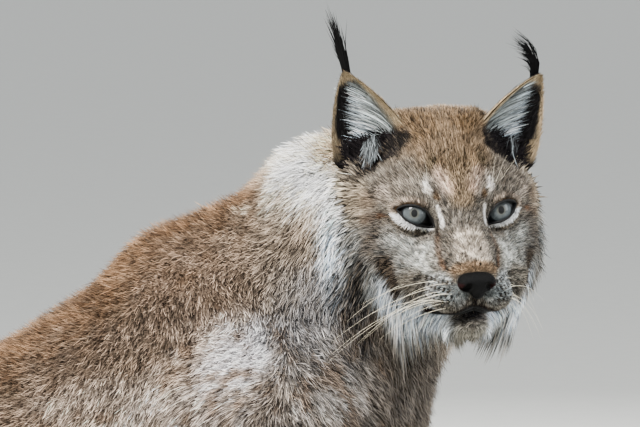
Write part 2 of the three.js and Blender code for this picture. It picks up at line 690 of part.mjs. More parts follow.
// The black tuft on an ear's tip, and the long hair that lies across its cup
function earLocks(side) {
  const { up, front, across } = earFrame(side);
  const locks = [];
  for (let i = 0; i < TUFT.count; i++) {
    const s = (2 * i) / (TUFT.count - 1) - 1;
    const root = earPoint(side, EAR.height - TUFT.sunk, 0.3 * s, 1);
    const straight = unit(add(up, TUFT_LEAN[side]));
    const along = headDirection(unit(add(add(straight, across, 0.09 * s), front, 0.06 * wobble(i))));
    const bend = headDirection(scale(TUFT_BEND[side], 1 - 0.2 * s));
    const length = (TUFT.length + TUFT.sunk) * (1 - 0.25 * Math.abs(s - 0.2) + 0.1 * wobble(i + 5));
    locks.push(makeLock({ ...TUFT, length, root, along, face: headDirection(front), bend }));
  }
  const inward = -SIDES[side];
  for (let i = 0; i < EAR_HAIR.count; i++) {
    const h = 4 + 11 * i;
    const edge = Math.sign(dot(across, [0, inward, 0])) * 0.9;
    const root = earPoint(side, h, edge, 2.4);
    const sweep = unit(add(add([0, -inward, 0], up, 0.55), front, 0.02));
    const bend = headDirection(scale(up, 9));
    const length = EAR_HAIR.length * (1 - 0.18 * i);
    locks.push(makeLock({ ...EAR_HAIR, length, root, along: headDirection(sweep), face: headDirection(front), bend }, 3));
  }
  return locks;
}

// A bar of the head's frame as a solid with few faces
function barSolid([a, b, ra, rb], fold = 1) {
  const ends = [[a, ra], [b, rb]].map(([c, r]) => {
    const centre = fromHead([c[0], c[1] * fold, c[2]]);
    return wasm.Manifold.sphere(r, 10).translate(centre);
  });
  return wasm.Manifold.hull(ends);
}

function makeNose() {
  const box = [[42, -24, -66], [74, 24, -26]];
  const toPad = (p) => noseField(toHead(p));
  const cuts = joined([barSolid(NOSTRIL), barSolid(NOSTRIL, -1), barSolid(PHILTRUM)]);
  cutters.nostrils = cuts;
  named.nose = largest(meshHead(...box, 4.6, { field: toPad }).subtract(cuts));
  cutters.nose = meshHead(...box, 4.6, { field: toPad, level: CURVED_GAP });
}

// The block above or below the line of the mouth, through the head from back to front.
function mouthBlock(above) {
  const shape = new THREE.Shape();
  const far = above ? 60 : -140;
  const apart = above ? GAP / 2 : -GAP / 2;
  shape.moveTo(-60, far);
  for (let y = -60; y <= 60; y += 6) shape.lineTo(y, mouthHeight([0, y, 0]) + apart);
  shape.lineTo(60, far);
  shape.closePath();
  const geometry = new THREE.ExtrudeGeometry(shape, { depth: 160, bevelEnabled: false });
  const ahead = new THREE.Vector3(1, 0, 0);
  const turn = new THREE.Matrix4().makeBasis(new THREE.Vector3(0, 1, 0), new THREE.Vector3(0, 0, 1), ahead);
  return solidOf(geometry, headMatrix.clone().multiply(turn).multiply(new THREE.Matrix4().makeTranslation(0, 0, -50)));
}

// The muzzle and the lower jaw meet along the mouth, with rounded lips.
function makeMuzzle() {
  const upper = (p) => {
    const q = toHead(p);
    return softCut(wholeField(p), q[2] - mouthHeight(q) - GAP / 2, 3);
  };
  const lower = (p) => {
    const q = toHead(p);
    return softCut(wholeField(p), mouthHeight(q) - GAP / 2 - q[2], 3);
  };
  const muzzle = meshHead([-4, -62, -76], [76, 62, 30], 7.5, { field: upper });
  named.muzzle = largest(muzzle.intersect(freed("muzzle")).intersect(mouthBlock(true)).subtract(cutters.nose).subtract(cutters.nostrils));
  const jaw = meshHead([-12, -62, -106], [68, 62, -50], 8.5, { field: lower });
  const whole = joined([jaw, ...beardLocks()]);
  named.lower_jaw = largest(whole.intersect(freed("muzzle")).intersect(mouthBlock(false)));
  cutters.beard = joined(beardLocks(GAP));
}

function makeHead() {
  const bare = meshHead(...HEAD_BOX, 13, { fine: FINE_FACE });
  const region = freed("head").intersect(freed("neck")).intersect(kept("muzzle"));
  let made = bare;
  for (const side of Object.keys(SIDES)) made = made.add(eyeBall(side, EYE_R + LID));
  made = made.intersect(region);
  for (const side of Object.keys(SIDES)) {
    made = made.subtract(eyeOpening(side)).subtract(eyeBall(side, EYE_R + GAP));
    named["eye_" + side] = eyeBall(side, EYE_R);
  }
  const locks = Object.keys(SIDES).flatMap(ruffLocks);
  made = joined([made, ...locks]);
  made = made.subtract(cutters.body).subtract(cutters.beard);
  made = made.intersect(kept("muzzle"));
  named.head = largest(made);
  const grown = meshHead(...HEAD_BOX, 13, { fine: FINE_FACE, level: CURVED_GAP });
  for (const side of Object.keys(SIDES)) {
    const ear = joined([earCup(side), ...earLocks(side)]);
    named["ear_" + side] = largest(ear.subtract(grown));
  }
}

makeTrunk();
makeNeck();
makeForelegs();
makeHindlegs();
makeTail();
makeNose();
makeMuzzle();
makeHead();

// Colour and roughness of each piece; a piece that isn't named here is the coat's own.
const COAT = [0xa88a66, 0.95];
const FINISH = {
  head: [0xa89a86, 0.95],
  muzzle: [0xc2ab8e, 0.95],
  lower_jaw: [0xded8cc, 0.95],
  nose: [0x3a2622, 0.45],
  eye_left: [0x8d9b9a, 0.1],
  eye_right: [0x8d9b9a, 0.1],
  ear_left: [0x8f7a62, 0.95],
  ear_right: [0x8f7a62, 0.95],
  neck: [0xb3a58f, 0.95],
  tail_tip: [0x1c1a19, 0.95],
};

const lynx = new THREE.Group();
for (const [name, made] of Object.entries(named)) {
  const [color, roughness] = FINISH[name] || COAT;
  const mesh = new THREE.Mesh(geometryOf(made), new THREE.MeshStandardMaterial({ color, roughness, metalness: 0 }));
  mesh.name = name;
  lynx.add(mesh);
}
lynx.position.set(...FLOOR_SHIFT);
export default lynx;
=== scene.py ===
"""A life-size Eurasian lynx, sitting with its head turned: skin, coat, eyes, nose and whiskers."""

import bpy
import numpy as np
from mathutils import Matrix


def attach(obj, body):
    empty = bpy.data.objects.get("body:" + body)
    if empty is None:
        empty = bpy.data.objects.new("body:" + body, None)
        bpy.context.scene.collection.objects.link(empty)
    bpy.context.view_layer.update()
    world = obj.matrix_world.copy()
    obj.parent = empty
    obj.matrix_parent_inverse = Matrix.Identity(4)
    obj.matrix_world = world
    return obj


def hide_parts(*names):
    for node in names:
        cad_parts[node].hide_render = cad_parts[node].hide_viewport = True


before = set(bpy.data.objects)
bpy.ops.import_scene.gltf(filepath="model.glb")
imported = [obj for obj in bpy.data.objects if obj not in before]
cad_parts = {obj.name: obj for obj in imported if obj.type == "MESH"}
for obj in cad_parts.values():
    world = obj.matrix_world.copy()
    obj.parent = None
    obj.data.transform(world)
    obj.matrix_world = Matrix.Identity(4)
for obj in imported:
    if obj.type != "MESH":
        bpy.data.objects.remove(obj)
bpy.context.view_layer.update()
RNG = np.random.default_rng(41)
MM = 0.001

# Driving sizes, in millimetres on the solid model's own axes: +X ahead, +Y its left, +Z up
FLOOR_SHIFT = np.array([124.5, 0.0, 0.0])
HEAD_AT = np.array([192.8, -98.0, 595.0])
HEAD_TURN = -77.0
HEAD_NOD = 6.0
HEAD_ROLL = 2.0
EYE_R = 14.0
EYE_AT = np.array([-5.0, 30.5, 1.5])
EYE_TURN = 15.0
EYE_LIFT = 8.0
GAZE = {-1: (15.0, 13.0), 1: (3.0, 10.0)}
IRIS_R = 9.2
PUPIL_R = 2.5
CORNEA_RISE = 0.9
LID = 2.0
LID_OUTER = (12.5, 4.0)
LID_INNER = (-14.2, -9.0)
LID_UPPER = 9.0
LID_LOWER = -8.2
FORELEG_Y = 70.0
HINDLEG_Y = 112.0
FOREFOOT_LEAD = {1: 0.0, -1: 16.0}
HINDFOOT_LEAD = {1: 0.0, -1: 10.0}
SIDES = {"left": 1, "right": -1}

# The body's bars: from, to, the radius at each end, how softly it joins, and the lie of its coat
TORSO_SQUASH = 0.84
# The squashed field is steeper than 1 at the sides, and this evens it out
TORSO_SLOPE = 0.92
TORSO = [
    ((70, 0, 432), (20, 0, 455), 102, 124, 6, (-0.30, 0, -0.95)),
    ((20, 0, 455), (-95, 0, 383), 124, 122, 6, (-0.72, 0, -0.70)),
    ((-95, 0, 383), (-200, 0, 290), 122, 121, 6, (-0.76, 0, -0.65)),
    ((-200, 0, 290), (-282, 0, 185), 121, 130, 6, (-0.60, 0, -0.80)),
    ((-282, 0, 185), (-298, 0, 116), 130, 123, 6, (-0.45, 0, -0.90)),
    ((70, 2, 480), (118, 8, 555), 99, 98, 40, (-0.30, 0, -0.95)),
    ((-14, 0, 542), (24, 0, 554), 34, 32, 44, (-0.85, 0, -0.52)),
]
TAIL = [
    ((-372, 0, 96), (-432, -24, 52), 40, 34, 30, (-0.8, -0.3, -0.5)),
    ((-432, -24, 52), (-474, -70, 35), 34, 33, 12, (-0.6, -0.75, -0.2)),
    ((-474, -70, 35), (-484, -124, 31), 33, 29, 12, (-0.15, -1, 0)),
]
TOES = [(-31, 30, 14.5), (-11, 42, 16), (11, 42, 16), (31, 30, 14.5)]
FOOT_LIE = (1, 0, -0.45)


def foreleg(side):
    """The bars of one foreleg."""
    y = side * FORELEG_Y
    lead = FOREFOOT_LEAD[side]
    return [
        ((58, y, 440), (40, y + side * 14, 325), 60, 53, 46, (-0.15, 0, -1)),
        ((40, y + side * 14, 325), (78 + lead / 2, y + side * 2, 110), 50, 35, 30, (0.05, 0, -1)),
        ((78 + lead / 2, y + side * 2, 110), (92 + lead, y, 66), 34, 34, 20, (0.2, 0, -1)),
        ((92 + lead, y, 62), (128 + lead, y + side * 2, 34), 34, 33, 18, (0.8, 0, -0.6)),
    ]


def hindleg(side):
    """The bars of one hind leg, folded as it sits."""
    y = side * HINDLEG_Y
    lead = HINDFOOT_LEAD[side]
    return [
        ((-262, y - side * 34, 165), (-142, y - side * 8, 190), 88, 66, 40, (-0.25, 0, -0.97)),
        ((-142, y - side * 8, 190), (-128, y - side * 4, 178), 62, 58, 30, (0.1, 0, -1)),
        ((-136, y - side * 2, 165), (-250, y, 58), 52, 37, 26, (-0.35, 0, -0.94)),
        ((-258, y, 36), (-120 + lead, y + side * 3, 27), 32, 30, 18, (0.9, 0, -0.45)),
        ((-120 + lead, y + side * 3, 27), (-84 + lead, y + side * 5, 25), 31, 33, 14, (1, 0, -0.4)),
    ]


FEET = [
    ((128 + FOREFOOT_LEAD[side], side * (FORELEG_Y + 3), 22), 1.0) for side in SIDES.values()
] + [((-84 + HINDFOOT_LEAD[side], side * (HINDLEG_Y + 6), 22), 0.92) for side in SIDES.values()]

# The head in its own frame: x to the nose, y to its left, z up, from midway between the eyes
SKULL = {
    "cranium": ((-62, 0, 10), (72, 66, 62), 10),
    "crown": ((-58, 28, 34), (40, 34, 36), 12),
    "forehead": ((-26, 0, 16), (34, 44, 44), 14),
    "brow": ((-12, 26, 14), (19, 21, 14), 10),
    "temple": ((-44, 46, 4), (38, 26, 34), 14),
    "under_eye": ((-12, 32, -24), (22, 22, 17), 10),
    "cheek": ((-34, 41, -30), (36, 31, 40), 14),
    "jowl": ((-2, 34, -48), (32, 20, 27), 14),
    "ruff_core": ((-62, 50, -32), (36, 28, 48), 14),
    "snout": ((24, 0, -44), (30, 26, 22), 12),
    "whisker_pad": ((36, 15, -52), (22, 17, 15), 8),
    "chin": ((32, 0, -74), (21, 17, 11), 10),
    "jaw": ((-8, 0, -64), (42, 38, 25), 14),
    "muzzle_side": ((14, 19, -29), (21, 14, 16), 12),
}
BRIDGE = ((0, 0, 6), (40, 0, -33), 20, 18, 12)
HEAD_JOIN = 18.0
FOOT_JOIN = 12.0
TOE_JOIN = 6.0
EYE_HOLLOW_R = 13.0
EYE_HOLLOW_SOFT = 4.0
EAR_HOLLOW_SOFT = 7.0
TEMPLE_HOLLOW_SOFT = 9.0
NOSE = {
    "top": ((56, 0, -38.6), (9, 12.0, 7), 5),
    "wing": ((57, 8.0, -39.8), (8, 6, 6), 4),
    "base": ((59, 0, -46.0), (6, 5.0, 5.4), 4),
}
NOSTRIL = ((67, 6.2, -40.6), (58, 11, -43), 2.7, 2.1)
PHILTRUM = ((68.5, 0, -40.6), (66.5, 0, -57), 1.5, 1.5)

# The ears' cups
EAR_HEIGHT = 61.0
EAR_HALF_WIDTH = 28.0
EAR_CURL = 72.0
EAR_DEPTH = 16.0
EAR_THICK = 3.4
EAR_ROOT = 18.0
EAR_POSE = {
    -1: ((-55, -49, 41), (-61, -69, 99), (0.9, -0.38, 0.12)),
    1: ((-55, 49, 37), (-61, 78, 89), (0.88, 0.42, 0.12)),
}
TUFT_LEAN = {-1: (0, 0.10, 0.6), 1: (0, -0.20, 0.5)}
TUFT_BEND = {-1: (0, -1, 0.1), 1: (2, -17, -8)}
TUFT_CURVE = {-1: 0.10, 1: 0.62}
# The hollow that opens each cup in front: its middle line and radius in the ear's own frame
EAR_HOLLOW = [
    ((15, 17, 14), (-9, 12, 8), 16),
    ((15, -2, 16), (-10, 3, 9), 11),
]
TEMPLE_HOLLOW = ((-22, 40, 59), (-30, 62, 45), 17, 17)
TUFT_LENGTH = 43.0

# Where the ruff grows, from below the ear round the cheek to the chin
RUFF_LINE = np.array([(-50, 74, 14), (-44, 79, -22), (-30, 70, -52), (-2, 53, -68), (24, 24, -84)], float)


# Vector helpers

def unit(v):
    return v / np.maximum(np.linalg.norm(v, axis=-1, keepdims=True), 1e-9)


def smoothstep(t):
    c = np.clip(t, 0, 1)
    return c * c * (3 - 2 * c)


def past(value, start, width):
    """0 up to start, and from there rising to 1 over a width."""
    return smoothstep((value - start) / width)


def short_of(value, end, width):
    """0 from end on, and before it falling from 1 over a width."""
    return smoothstep((end - value) / width)


def mix(a, b, t):
    return a + (b - a) * t


def bell(t, middle, width):
    """1 at the middle, and next to nothing twice the width away."""
    return np.exp(-(((t - middle) / width) ** 2))


def column(w):
    return np.asarray(w)[..., None]


def distance(p, place):
    return np.linalg.norm(p - place, axis=-1)


def tangent(v, normal):
    """The part of v that lies along the surface."""
    return unit(v - normal * np.sum(v * normal, -1, keepdims=True))


def turn_matrix(turn, nod, roll):
    a, b, c = np.radians([turn, nod, roll])
    about_z = np.array([[np.cos(a), -np.sin(a), 0], [np.sin(a), np.cos(a), 0], [0, 0, 1]])
    about_y = np.array([[np.cos(b), 0, np.sin(b)], [0, 1, 0], [-np.sin(b), 0, np.cos(b)]])
    about_x = np.array([[1, 0, 0], [0, np.cos(c), -np.sin(c)], [0, np.sin(c), np.cos(c)]])
    return about_z @ about_y @ about_x


HEAD_AXES = turn_matrix(HEAD_TURN, HEAD_NOD, HEAD_ROLL)


def to_head(p):
    return (p - HEAD_AT) @ HEAD_AXES


def from_head(q):
    return np.asarray(q, float) @ HEAD_AXES.T + HEAD_AT


def head_direction(d):
    return np.asarray(d, float) @ HEAD_AXES.T


def folded(q):
    """The same point on the head's left side."""
    return np.stack([q[..., 0], np.abs(q[..., 1]), q[..., 2]], -1)


def ear_frame(side):
    base, tip, faces = (np.array(v, float) for v in EAR_POSE[side])
    up = unit(tip - base)
    front = unit(faces - up * (faces @ up))
    return base, up, front, np.cross(front, up)


def ear_medial(side):
    """The sign of v at the ear's edge that is nearer the middle of the head."""
    across = ear_frame(side)[3]
    return 1.0 if across[1] * -side > 0 else -1.0


# Distances to bars and eggs, and their soft joins

def bar(p, a, b, ra, rb):
    a = np.asarray(a, float)
    ab = np.asarray(b, float) - a
    t = np.clip(((p - a) @ ab) / (ab @ ab), 0, 1)
    return np.linalg.norm(p - a - column(t) * ab, axis=-1) - (ra + (rb - ra) * t)


def egg(p, centre, radii):
    radii = np.asarray(radii, float)
    q = p - np.asarray(centre, float)
    k0 = np.linalg.norm(q / radii, axis=-1)
    k1 = np.linalg.norm(q / radii**2, axis=-1)
    return k0 * (k0 - 1) / np.maximum(k1, 1e-9)


def egg_share(p, centre, radii):
    """How far out a point is from an egg's centre, 1 on its surface."""
    return np.linalg.norm((p - np.array(centre)) / np.array(radii), axis=-1)


def soft_union(a, b, k):
    h = np.maximum(k - np.abs(a - b), 0)
    return np.minimum(a, b) - h * h / (4 * k)


def soft_cut(a, b, k):
    return -soft_union(-a, b, k)


# The corners of a cell, in steps along the three axes
CORNERS = np.array([[n & 1, (n >> 1) & 1, (n >> 2) & 1] for n in range(8)])


def noise(p, cell, seed):
    """Smooth noise from -1 to 1 with bumps of one cell's size."""
    q = np.asarray(p, float) / cell + 31.7 * seed
    base = np.floor(q)
    f = q - base
    f = f * f * (3 - 2 * f)
    total = 0
    for step in CORNERS:
        at = base + step
        value = np.sin(at @ np.array([127.1, 311.7, 74.7]) + 13.1 * seed) * 43758.5453
        weight = np.prod(np.where(step, f, 1 - f), axis=-1)
        total = total + weight * (value - np.floor(value))
    return 2 * total - 1


def spots(p, cell, radius, seed):
    """One round spot in each cell of a jittered lattice: 1 at its middle, 0 outside."""
    q = np.asarray(p, float) / cell
    base = np.floor(q)
    nearest = np.full(len(q), 9.0)
    for i in range(27):
        at = base + np.array([i % 3, (i // 3) % 3, i // 9]) - 1
        jitter = []
        for axis in range(3):
            value = np.sin(at @ np.array([12.9 + 9 * axis, 78.2, 37.7 + 5 * axis]) + seed) * 43758.5453
            jitter.append(value - np.floor(value))
        nearest = np.minimum(nearest, np.linalg.norm(at + np.stack(jitter, -1) - q, axis=-1))
    return smoothstep((radius / cell - nearest) * 6 + 0.5)


# The body's own field, and how near a point is to each part

def squashed(p):
    return p / np.array([1, TORSO_SQUASH, 1])


def torso_field(p):
    q = squashed(p)
    d = None
    for a, b, ra, rb, soft, _ in TORSO:
        one = bar(q, a, b, ra, rb)
        d = one if d is None else soft_union(d, one, soft)
    return d * TORSO_SLOPE


def foot_field(p, centre, size):
    x, y, z = centre
    d = egg(p, centre, (50 * size, 41 * size, 27))
    for off, reach, r in TOES:
        start = (x + 4, y + off * 0.72 * size, z)
        end = (x + reach * size, y + off * size, r + 0.5)
        d = soft_union(d, bar(p, start, end, r * size, r * size), TOE_JOIN)
    return d


def ear_hollow(q):
    """The distance to the hollows in front of the ears."""
    nearest = np.full(q.shape[:-1], 1e3)
    for side in SIDES.values():
        base, up, front, across = ear_frame(side)
        axes = np.array([across * ear_medial(side), front, up])
        local = (q - base) @ axes.T
        for a, b, r in EAR_HOLLOW:
            nearest = np.minimum(nearest, bar(local, a, b, r, r))
    return nearest


def above_ear_foot(q):
    """How far up the ear of its own side a point of the head is, from the ear's foot."""
    heights = []
    for side in (-1, 1):
        base, up, _, _ = ear_frame(side)
        heights.append((q - base) @ up)
    return np.where(q[..., 1] < 0, *heights)


def skull_field(q):
    f = folded(q)
    d = None
    for centre, radii, soft in SKULL.values():
        one = egg(f if centre[1] else q, centre, radii)
        d = one if d is None else soft_union(d, one, soft)
    a, b, ra, rb, soft = BRIDGE
    d = soft_union(d, bar(q, a, b, ra, rb), soft)
    socket = distance(f, EYE_AT) - EYE_HOLLOW_R
    d = soft_cut(d, socket, EYE_HOLLOW_SOFT)
    d = soft_cut(d, bar(f, *TEMPLE_HOLLOW), TEMPLE_HOLLOW_SOFT)
    return soft_cut(d, ear_hollow(q), EAR_HOLLOW_SOFT)


def body_parts(p):
    """The outer surface's distance, and the distances to torso, legs, feet, tail and head."""
    torso = torso_field(p)
    whole = torso
    legs = np.full(len(p), 1e3)
    for side in SIDES.values():
        for n, (a, b, ra, rb, soft, _) in enumerate(foreleg(side) + hindleg(side)):
            one = bar(p, a, b, ra, rb)
            whole = soft_union(whole, one, soft)
            if n not in (0, 4):
                legs = np.minimum(legs, one)
    feet = np.full(len(p), 1e3)
    for centre, size in FEET:
        one = foot_field(p, centre, size)
        whole = soft_union(whole, one, FOOT_JOIN)
        feet = np.minimum(feet, one)
    tail = np.full(len(p), 1e3)
    for a, b, ra, rb, soft, _ in TAIL:
        one = bar(p, a, b, ra, rb)
        whole = soft_union(whole, one, soft)
        tail = np.minimum(tail, one)
    head = skull_field(to_head(p))
    return {
        "whole": soft_union(whole, head, HEAD_JOIN),
        "torso": torso,
        "legs": legs,
        "feet": feet,
        "tail": tail,
        "head": head,
    }


# Shares of each part in a point's coat, and the coat's depth there

DEPTH = {"torso": 5.5, "legs": 4.5, "feet": 2.6, "tail": 6.0}
FACE_DEPTH = 1.7
CROWN_DEPTH = 4.2
RUFF_DEPTH = 7.5
LID_DEPTH = 1.0
FACE_MIDDLE = np.array([30.0, 0.0, -32.0])


def shares(parts):
    """How much each part counts at a point, adding up to 1."""
    names = ["torso", "legs", "feet", "tail", "head"]
    widths = {"torso": 22, "legs": 16, "feet": 8, "tail": 12, "head": 12}
    nearest = np.min([parts[name] for name in names], axis=0)
    weights = {name: np.exp(-(parts[name] - nearest) / widths[name]) for name in names}
    total = sum(weights.values())
    return {name: weights[name] / total for name in names}


def ruff_place(q):
    """The distance to the ruff's line and how far along it, from 0 at the ear to 1 at the chin."""
    f = folded(q)
    nearest = np.full(len(q), 1e3)
    along = np.zeros(len(q))
    count = len(RUFF_LINE) - 1
    for i in range(count):
        a, b = RUFF_LINE[i], RUFF_LINE[i + 1]
        t = np.clip(((f - a) @ (b - a)) / ((b - a) @ (b - a)), 0, 1)
        d = np.linalg.norm(f - a - column(t) * (b - a), axis=-1)
        closer = d < nearest
        nearest = np.where(closer, d, nearest)
        along = np.where(closer, (i + t) / count, along)
    return nearest, along


def head_depth(q):
    from_face = distance(q, FACE_MIDDLE)
    depth = mix(FACE_DEPTH, CROWN_DEPTH, past(from_face, 30, 60))
    ruff, _ = ruff_place(q)
    depth = mix(depth, RUFF_DEPTH, 1 - past(ruff, 6, 34))
    depth = mix(1.5, depth, past(ear_hollow(q), -1, 8))
    from_eye = distance(folded(q), EYE_AT)
    return mix(LID_DEPTH, depth, smoothstep((from_eye - EYE_R - LID) / 16))


def coat_depth(p, parts):
    share = shares(parts)
    depth = sum(share[name] * DEPTH[name] for name in DEPTH)
    return depth + share["head"] * head_depth(to_head(p))


# The eye's frame: outwards, up and along the way it looks

def eye_axes(side, turn=EYE_TURN, lift=EYE_LIFT):
    a, b = np.radians([turn, lift])
    look = np.array([np.cos(a) * np.cos(b), side * np.sin(a) * np.cos(b), np.sin(b)])
    across = unit(np.cross([0, 0, 1], look))
    return np.array([side * across, np.cross(look, across), look])


def eye_centre(side):
    return EYE_AT * np.array([1, side, 1])


def bezier(points, count):
    t = column(np.linspace(0, 1, count))
    a, b, c, d = np.asarray(points, float)
    return (1 - t) ** 3 * a + 3 * (1 - t) ** 2 * t * b + 3 * (1 - t) * t**2 * c + t**3 * d


def almond(count):
    """The opening between the lids: the upper edge from outer to inner corner, and the lower back."""
    out, inner = LID_OUTER, LID_INNER
    upper = bezier([out, (out[0] * 0.45, LID_UPPER), (inner[0] * 0.7, LID_UPPER), inner], count)
    lower = bezier([inner, (inner[0] * 0.5, LID_LOWER), (out[0] * 0.35, LID_LOWER), out], count)
    return upper, lower


UPPER_LID, LOWER_LID = almond(40)


def opening_distance(a, b):
    """About how far a point of the eye's plane is outside the opening, less than 0 inside it."""
    outline = np.vstack([UPPER_LID, LOWER_LID])
    best = np.full(a.shape, 1e3)
    for x, y in outline:
        best = np.minimum(best, np.hypot(a - x, b - y))
    top = np.interp(a, UPPER_LID[::-1, 0], UPPER_LID[::-1, 1], left=-99, right=-99)
    bottom = np.interp(a, LOWER_LID[:, 0], LOWER_LID[:, 1], left=99, right=99)
    inside = (b < top) & (b > bottom)
    return np.where(inside, -best, best)


def eye_plane(q):
    """A point of the head in the frame of the eye on its own side."""
    local = (folded(q) - EYE_AT) @ eye_axes(1).T
    return local[..., 0], local[..., 1], local[..., 2]


# How far from an eye's middle its lids can change the skin
LIDS_REACH = 32.0


def uncut_skin(p):
    """The distance to the skin as it would be without lids or openings."""
    parts = body_parts(p)
    return parts["whole"] + coat_depth(p, parts)


def over_eyeball(d, ball):
    """The skin's distance once it is joined to the ball that the lids are part of."""
    return soft_union(d, ball - EYE_R - LID + 0.4, 4)


def lidded(d, q):
    """The skin's distance round the eyes: the lids stand over the eyeball, with the opening cut out."""
    a, b, ahead = eye_plane(q)
    ball = np.sqrt(a * a + b * b + ahead * ahead)
    opening = np.where(ahead > -4, opening_distance(a, b), 50.0)
    return soft_cut(over_eyeball(d, ball), np.maximum(opening, ball - 30), 1.0)


def skin_field(p):
    d = uncut_skin(p)
    q = to_head(p)
    near = distance(folded(q), EYE_AT) < LIDS_REACH
    if near.any():
        d[near] = lidded(d[near], q[near])
    return d


# The nose's field, in the head's frame

def nose_field(q):
    f = folded(q)
    d = egg(q, *NOSE["top"][:2])
    d = soft_union(d, egg(f, *NOSE["wing"][:2]), NOSE["wing"][2])
    d = soft_union(d, egg(q, *NOSE["base"][:2]), NOSE["base"][2])
    d = soft_cut(d, bar(f, *NOSTRIL), 1.2)
    return soft_cut(d, bar(q, *PHILTRUM) + 0.6, 1.0)


def mouth_height(q):
    y = np.abs(q[..., 1])
    return -59.8 - 6.5 * smoothstep(y / 22) + 5 * past(y, 24, 14)


# A surface from a field, on a grid that is finer over some stretches

POINTS_AT_ONCE = 200000


def stops(low, high, step, fine=None):
    """Places along an axis, a step apart, or as the stretch in fine says: its start, end and step."""
    stretches = [(low, high, step)]
    if fine:
        stretches = [(low, fine[0], step), fine, (fine[1], high, step)]
    found = [low]
    for start, end, pitch in stretches:
        count = max(1, round((end - start) / pitch))
        found.extend(mix(start, end, n / count) for n in range(1, count + 1))
    return np.array(found, float)


def grid_points(axes, at):
    """The grid's points at given steps along its axes."""
    return np.stack([axes[n][at[:, n]] for n in range(3)], -1)


def sampled(field, axes, block=8):
    """The field at every grid point. Blocks far from the surface take their middle's value."""
    shape = [len(axis) for axis in axes]
    values = np.full(shape, 1e3)
    starts = [range(0, size, block) for size in shape]
    corners = np.array([(i, j, k) for i in starts[0] for j in starts[1] for k in starts[2]])
    ends = np.minimum(corners + block, shape) - 1
    low = grid_points(axes, corners)
    high = grid_points(axes, ends)
    middle = field((low + high) / 2)
    reach = np.linalg.norm(high - low, axis=-1) / 2 + 14
    for (i, j, k), (a, b, c), value in zip(corners, ends + 1, middle):
        values[i:a, j:b, k:c] = value
    wanted = np.abs(middle) < 1.25 * reach
    chosen = []
    for (i, j, k), (a, b, c) in zip(corners[wanted], (ends + 1)[wanted]):
        chosen.append(np.mgrid[i:a, j:b, k:c].reshape(3, -1))
    chosen = np.concatenate(chosen, axis=1)
    points = grid_points(axes, chosen.T)
    parts = np.array_split(points, 1 + len(points) // POINTS_AT_ONCE)
    values[tuple(chosen)] = np.concatenate([field(part) for part in parts])
    return values


def slope(field, p, reach=0.5):
    here = field(p)
    steps = [field(p + reach * np.eye(3)[n]) - here for n in range(3)]
    return here, np.stack(steps, -1) / reach


def settled(field, p, limit, rounds=3):
    """Points moved onto the surface, each by no more than its limit, and the normals there."""
    start = p.copy()
    normal = None
    for _ in range(rounds):
        value, gradient = slope(field, p)
        square = np.maximum(np.sum(gradient * gradient, -1), 0.1)
        p = p - gradient * column(value / square)
        off = p - start
        far = np.linalg.norm(off, axis=-1)
        p = start + off * column(np.minimum(1, limit / np.maximum(far, 1e-9)))
        normal = unit(gradient)
    return p, normal


def crossed_cells(values):
    """The cells that the surface passes through, and where in each of them it does so on average."""
    inside = values < 0
    half = [slice(None, -1), slice(1, None)]
    count = sum(inside[half[i], half[j], half[k]].astype(int) for i, j, k in CORNERS)
    live = np.argwhere((count > 0) & (count < 8))
    total = np.zeros((len(live), 3))
    hits = np.zeros(len(live))
    for a in CORNERS:
        for b in CORNERS:
            if (b - a).sum() != 1 or np.abs(b - a).sum() != 1:
                continue
            va = values[tuple((live + a).T)]
            vb = values[tuple((live + b).T)]
            crossing = (va < 0) != (vb < 0)
            t = np.where(crossing, va / np.where(crossing, va - vb, 1), 0)
            total += np.where(crossing[:, None], a + column(t) * (b - a), 0)
            hits += crossing
    return live, total / hits[:, None]


def facing_quads(inside, index):
    """A face round each grid edge that the surface cuts, from the cells' numbers, facing out."""
    quads = []
    last = np.array(inside.shape) - 1
    for axis in range(3):
        others = [n for n in range(3) if n != axis]
        at = np.argwhere(np.diff(inside, axis=axis))
        at = at[((at > 0) & (at < last))[:, others].all(1)]
        u, v = np.eye(3, dtype=int)[others]
        faces = np.stack([index[tuple(corner.T)] for corner in (at - u - v, at - v, at, at - u)], -1)
        outward = inside[tuple(at.T)] ^ (axis == 1)
        faces[~outward] = faces[~outward][:, ::-1]
        quads.append(faces)
    quads = np.concatenate(quads)
    return quads[(quads >= 0).all(1)]


def surface(field, axes):
    """Corners, normals and four-sided faces of the field's zero surface, facing out."""
    values = sampled(field, axes)
    live, place = crossed_cells(values)
    index = np.full(np.array(values.shape) - 1, -1)
    index[tuple(live.T)] = np.arange(len(live))
    low = grid_points(axes, live)
    pitch = grid_points(axes, live + 1) - low
    points, normals = settled(field, low + place * pitch, pitch.min(1) * 0.7)
    return points, normals, facing_quads(values < 0, index)


# Blender objects from arrays

PIGMENT = 0.122
VIVID = 0.98


def pigment(colour):
    """The share of light that a surface gives back so that it looks like a colour under the stage's light."""
    c = np.clip(np.asarray(colour, float), 0, 1)
    grey = c.mean(-1, keepdims=True)
    c = np.clip(grey + VIVID * (c - grey), 0, 1)
    return np.clip(PIGMENT * c * c / (1.05 - c), 0.003, 0.88)


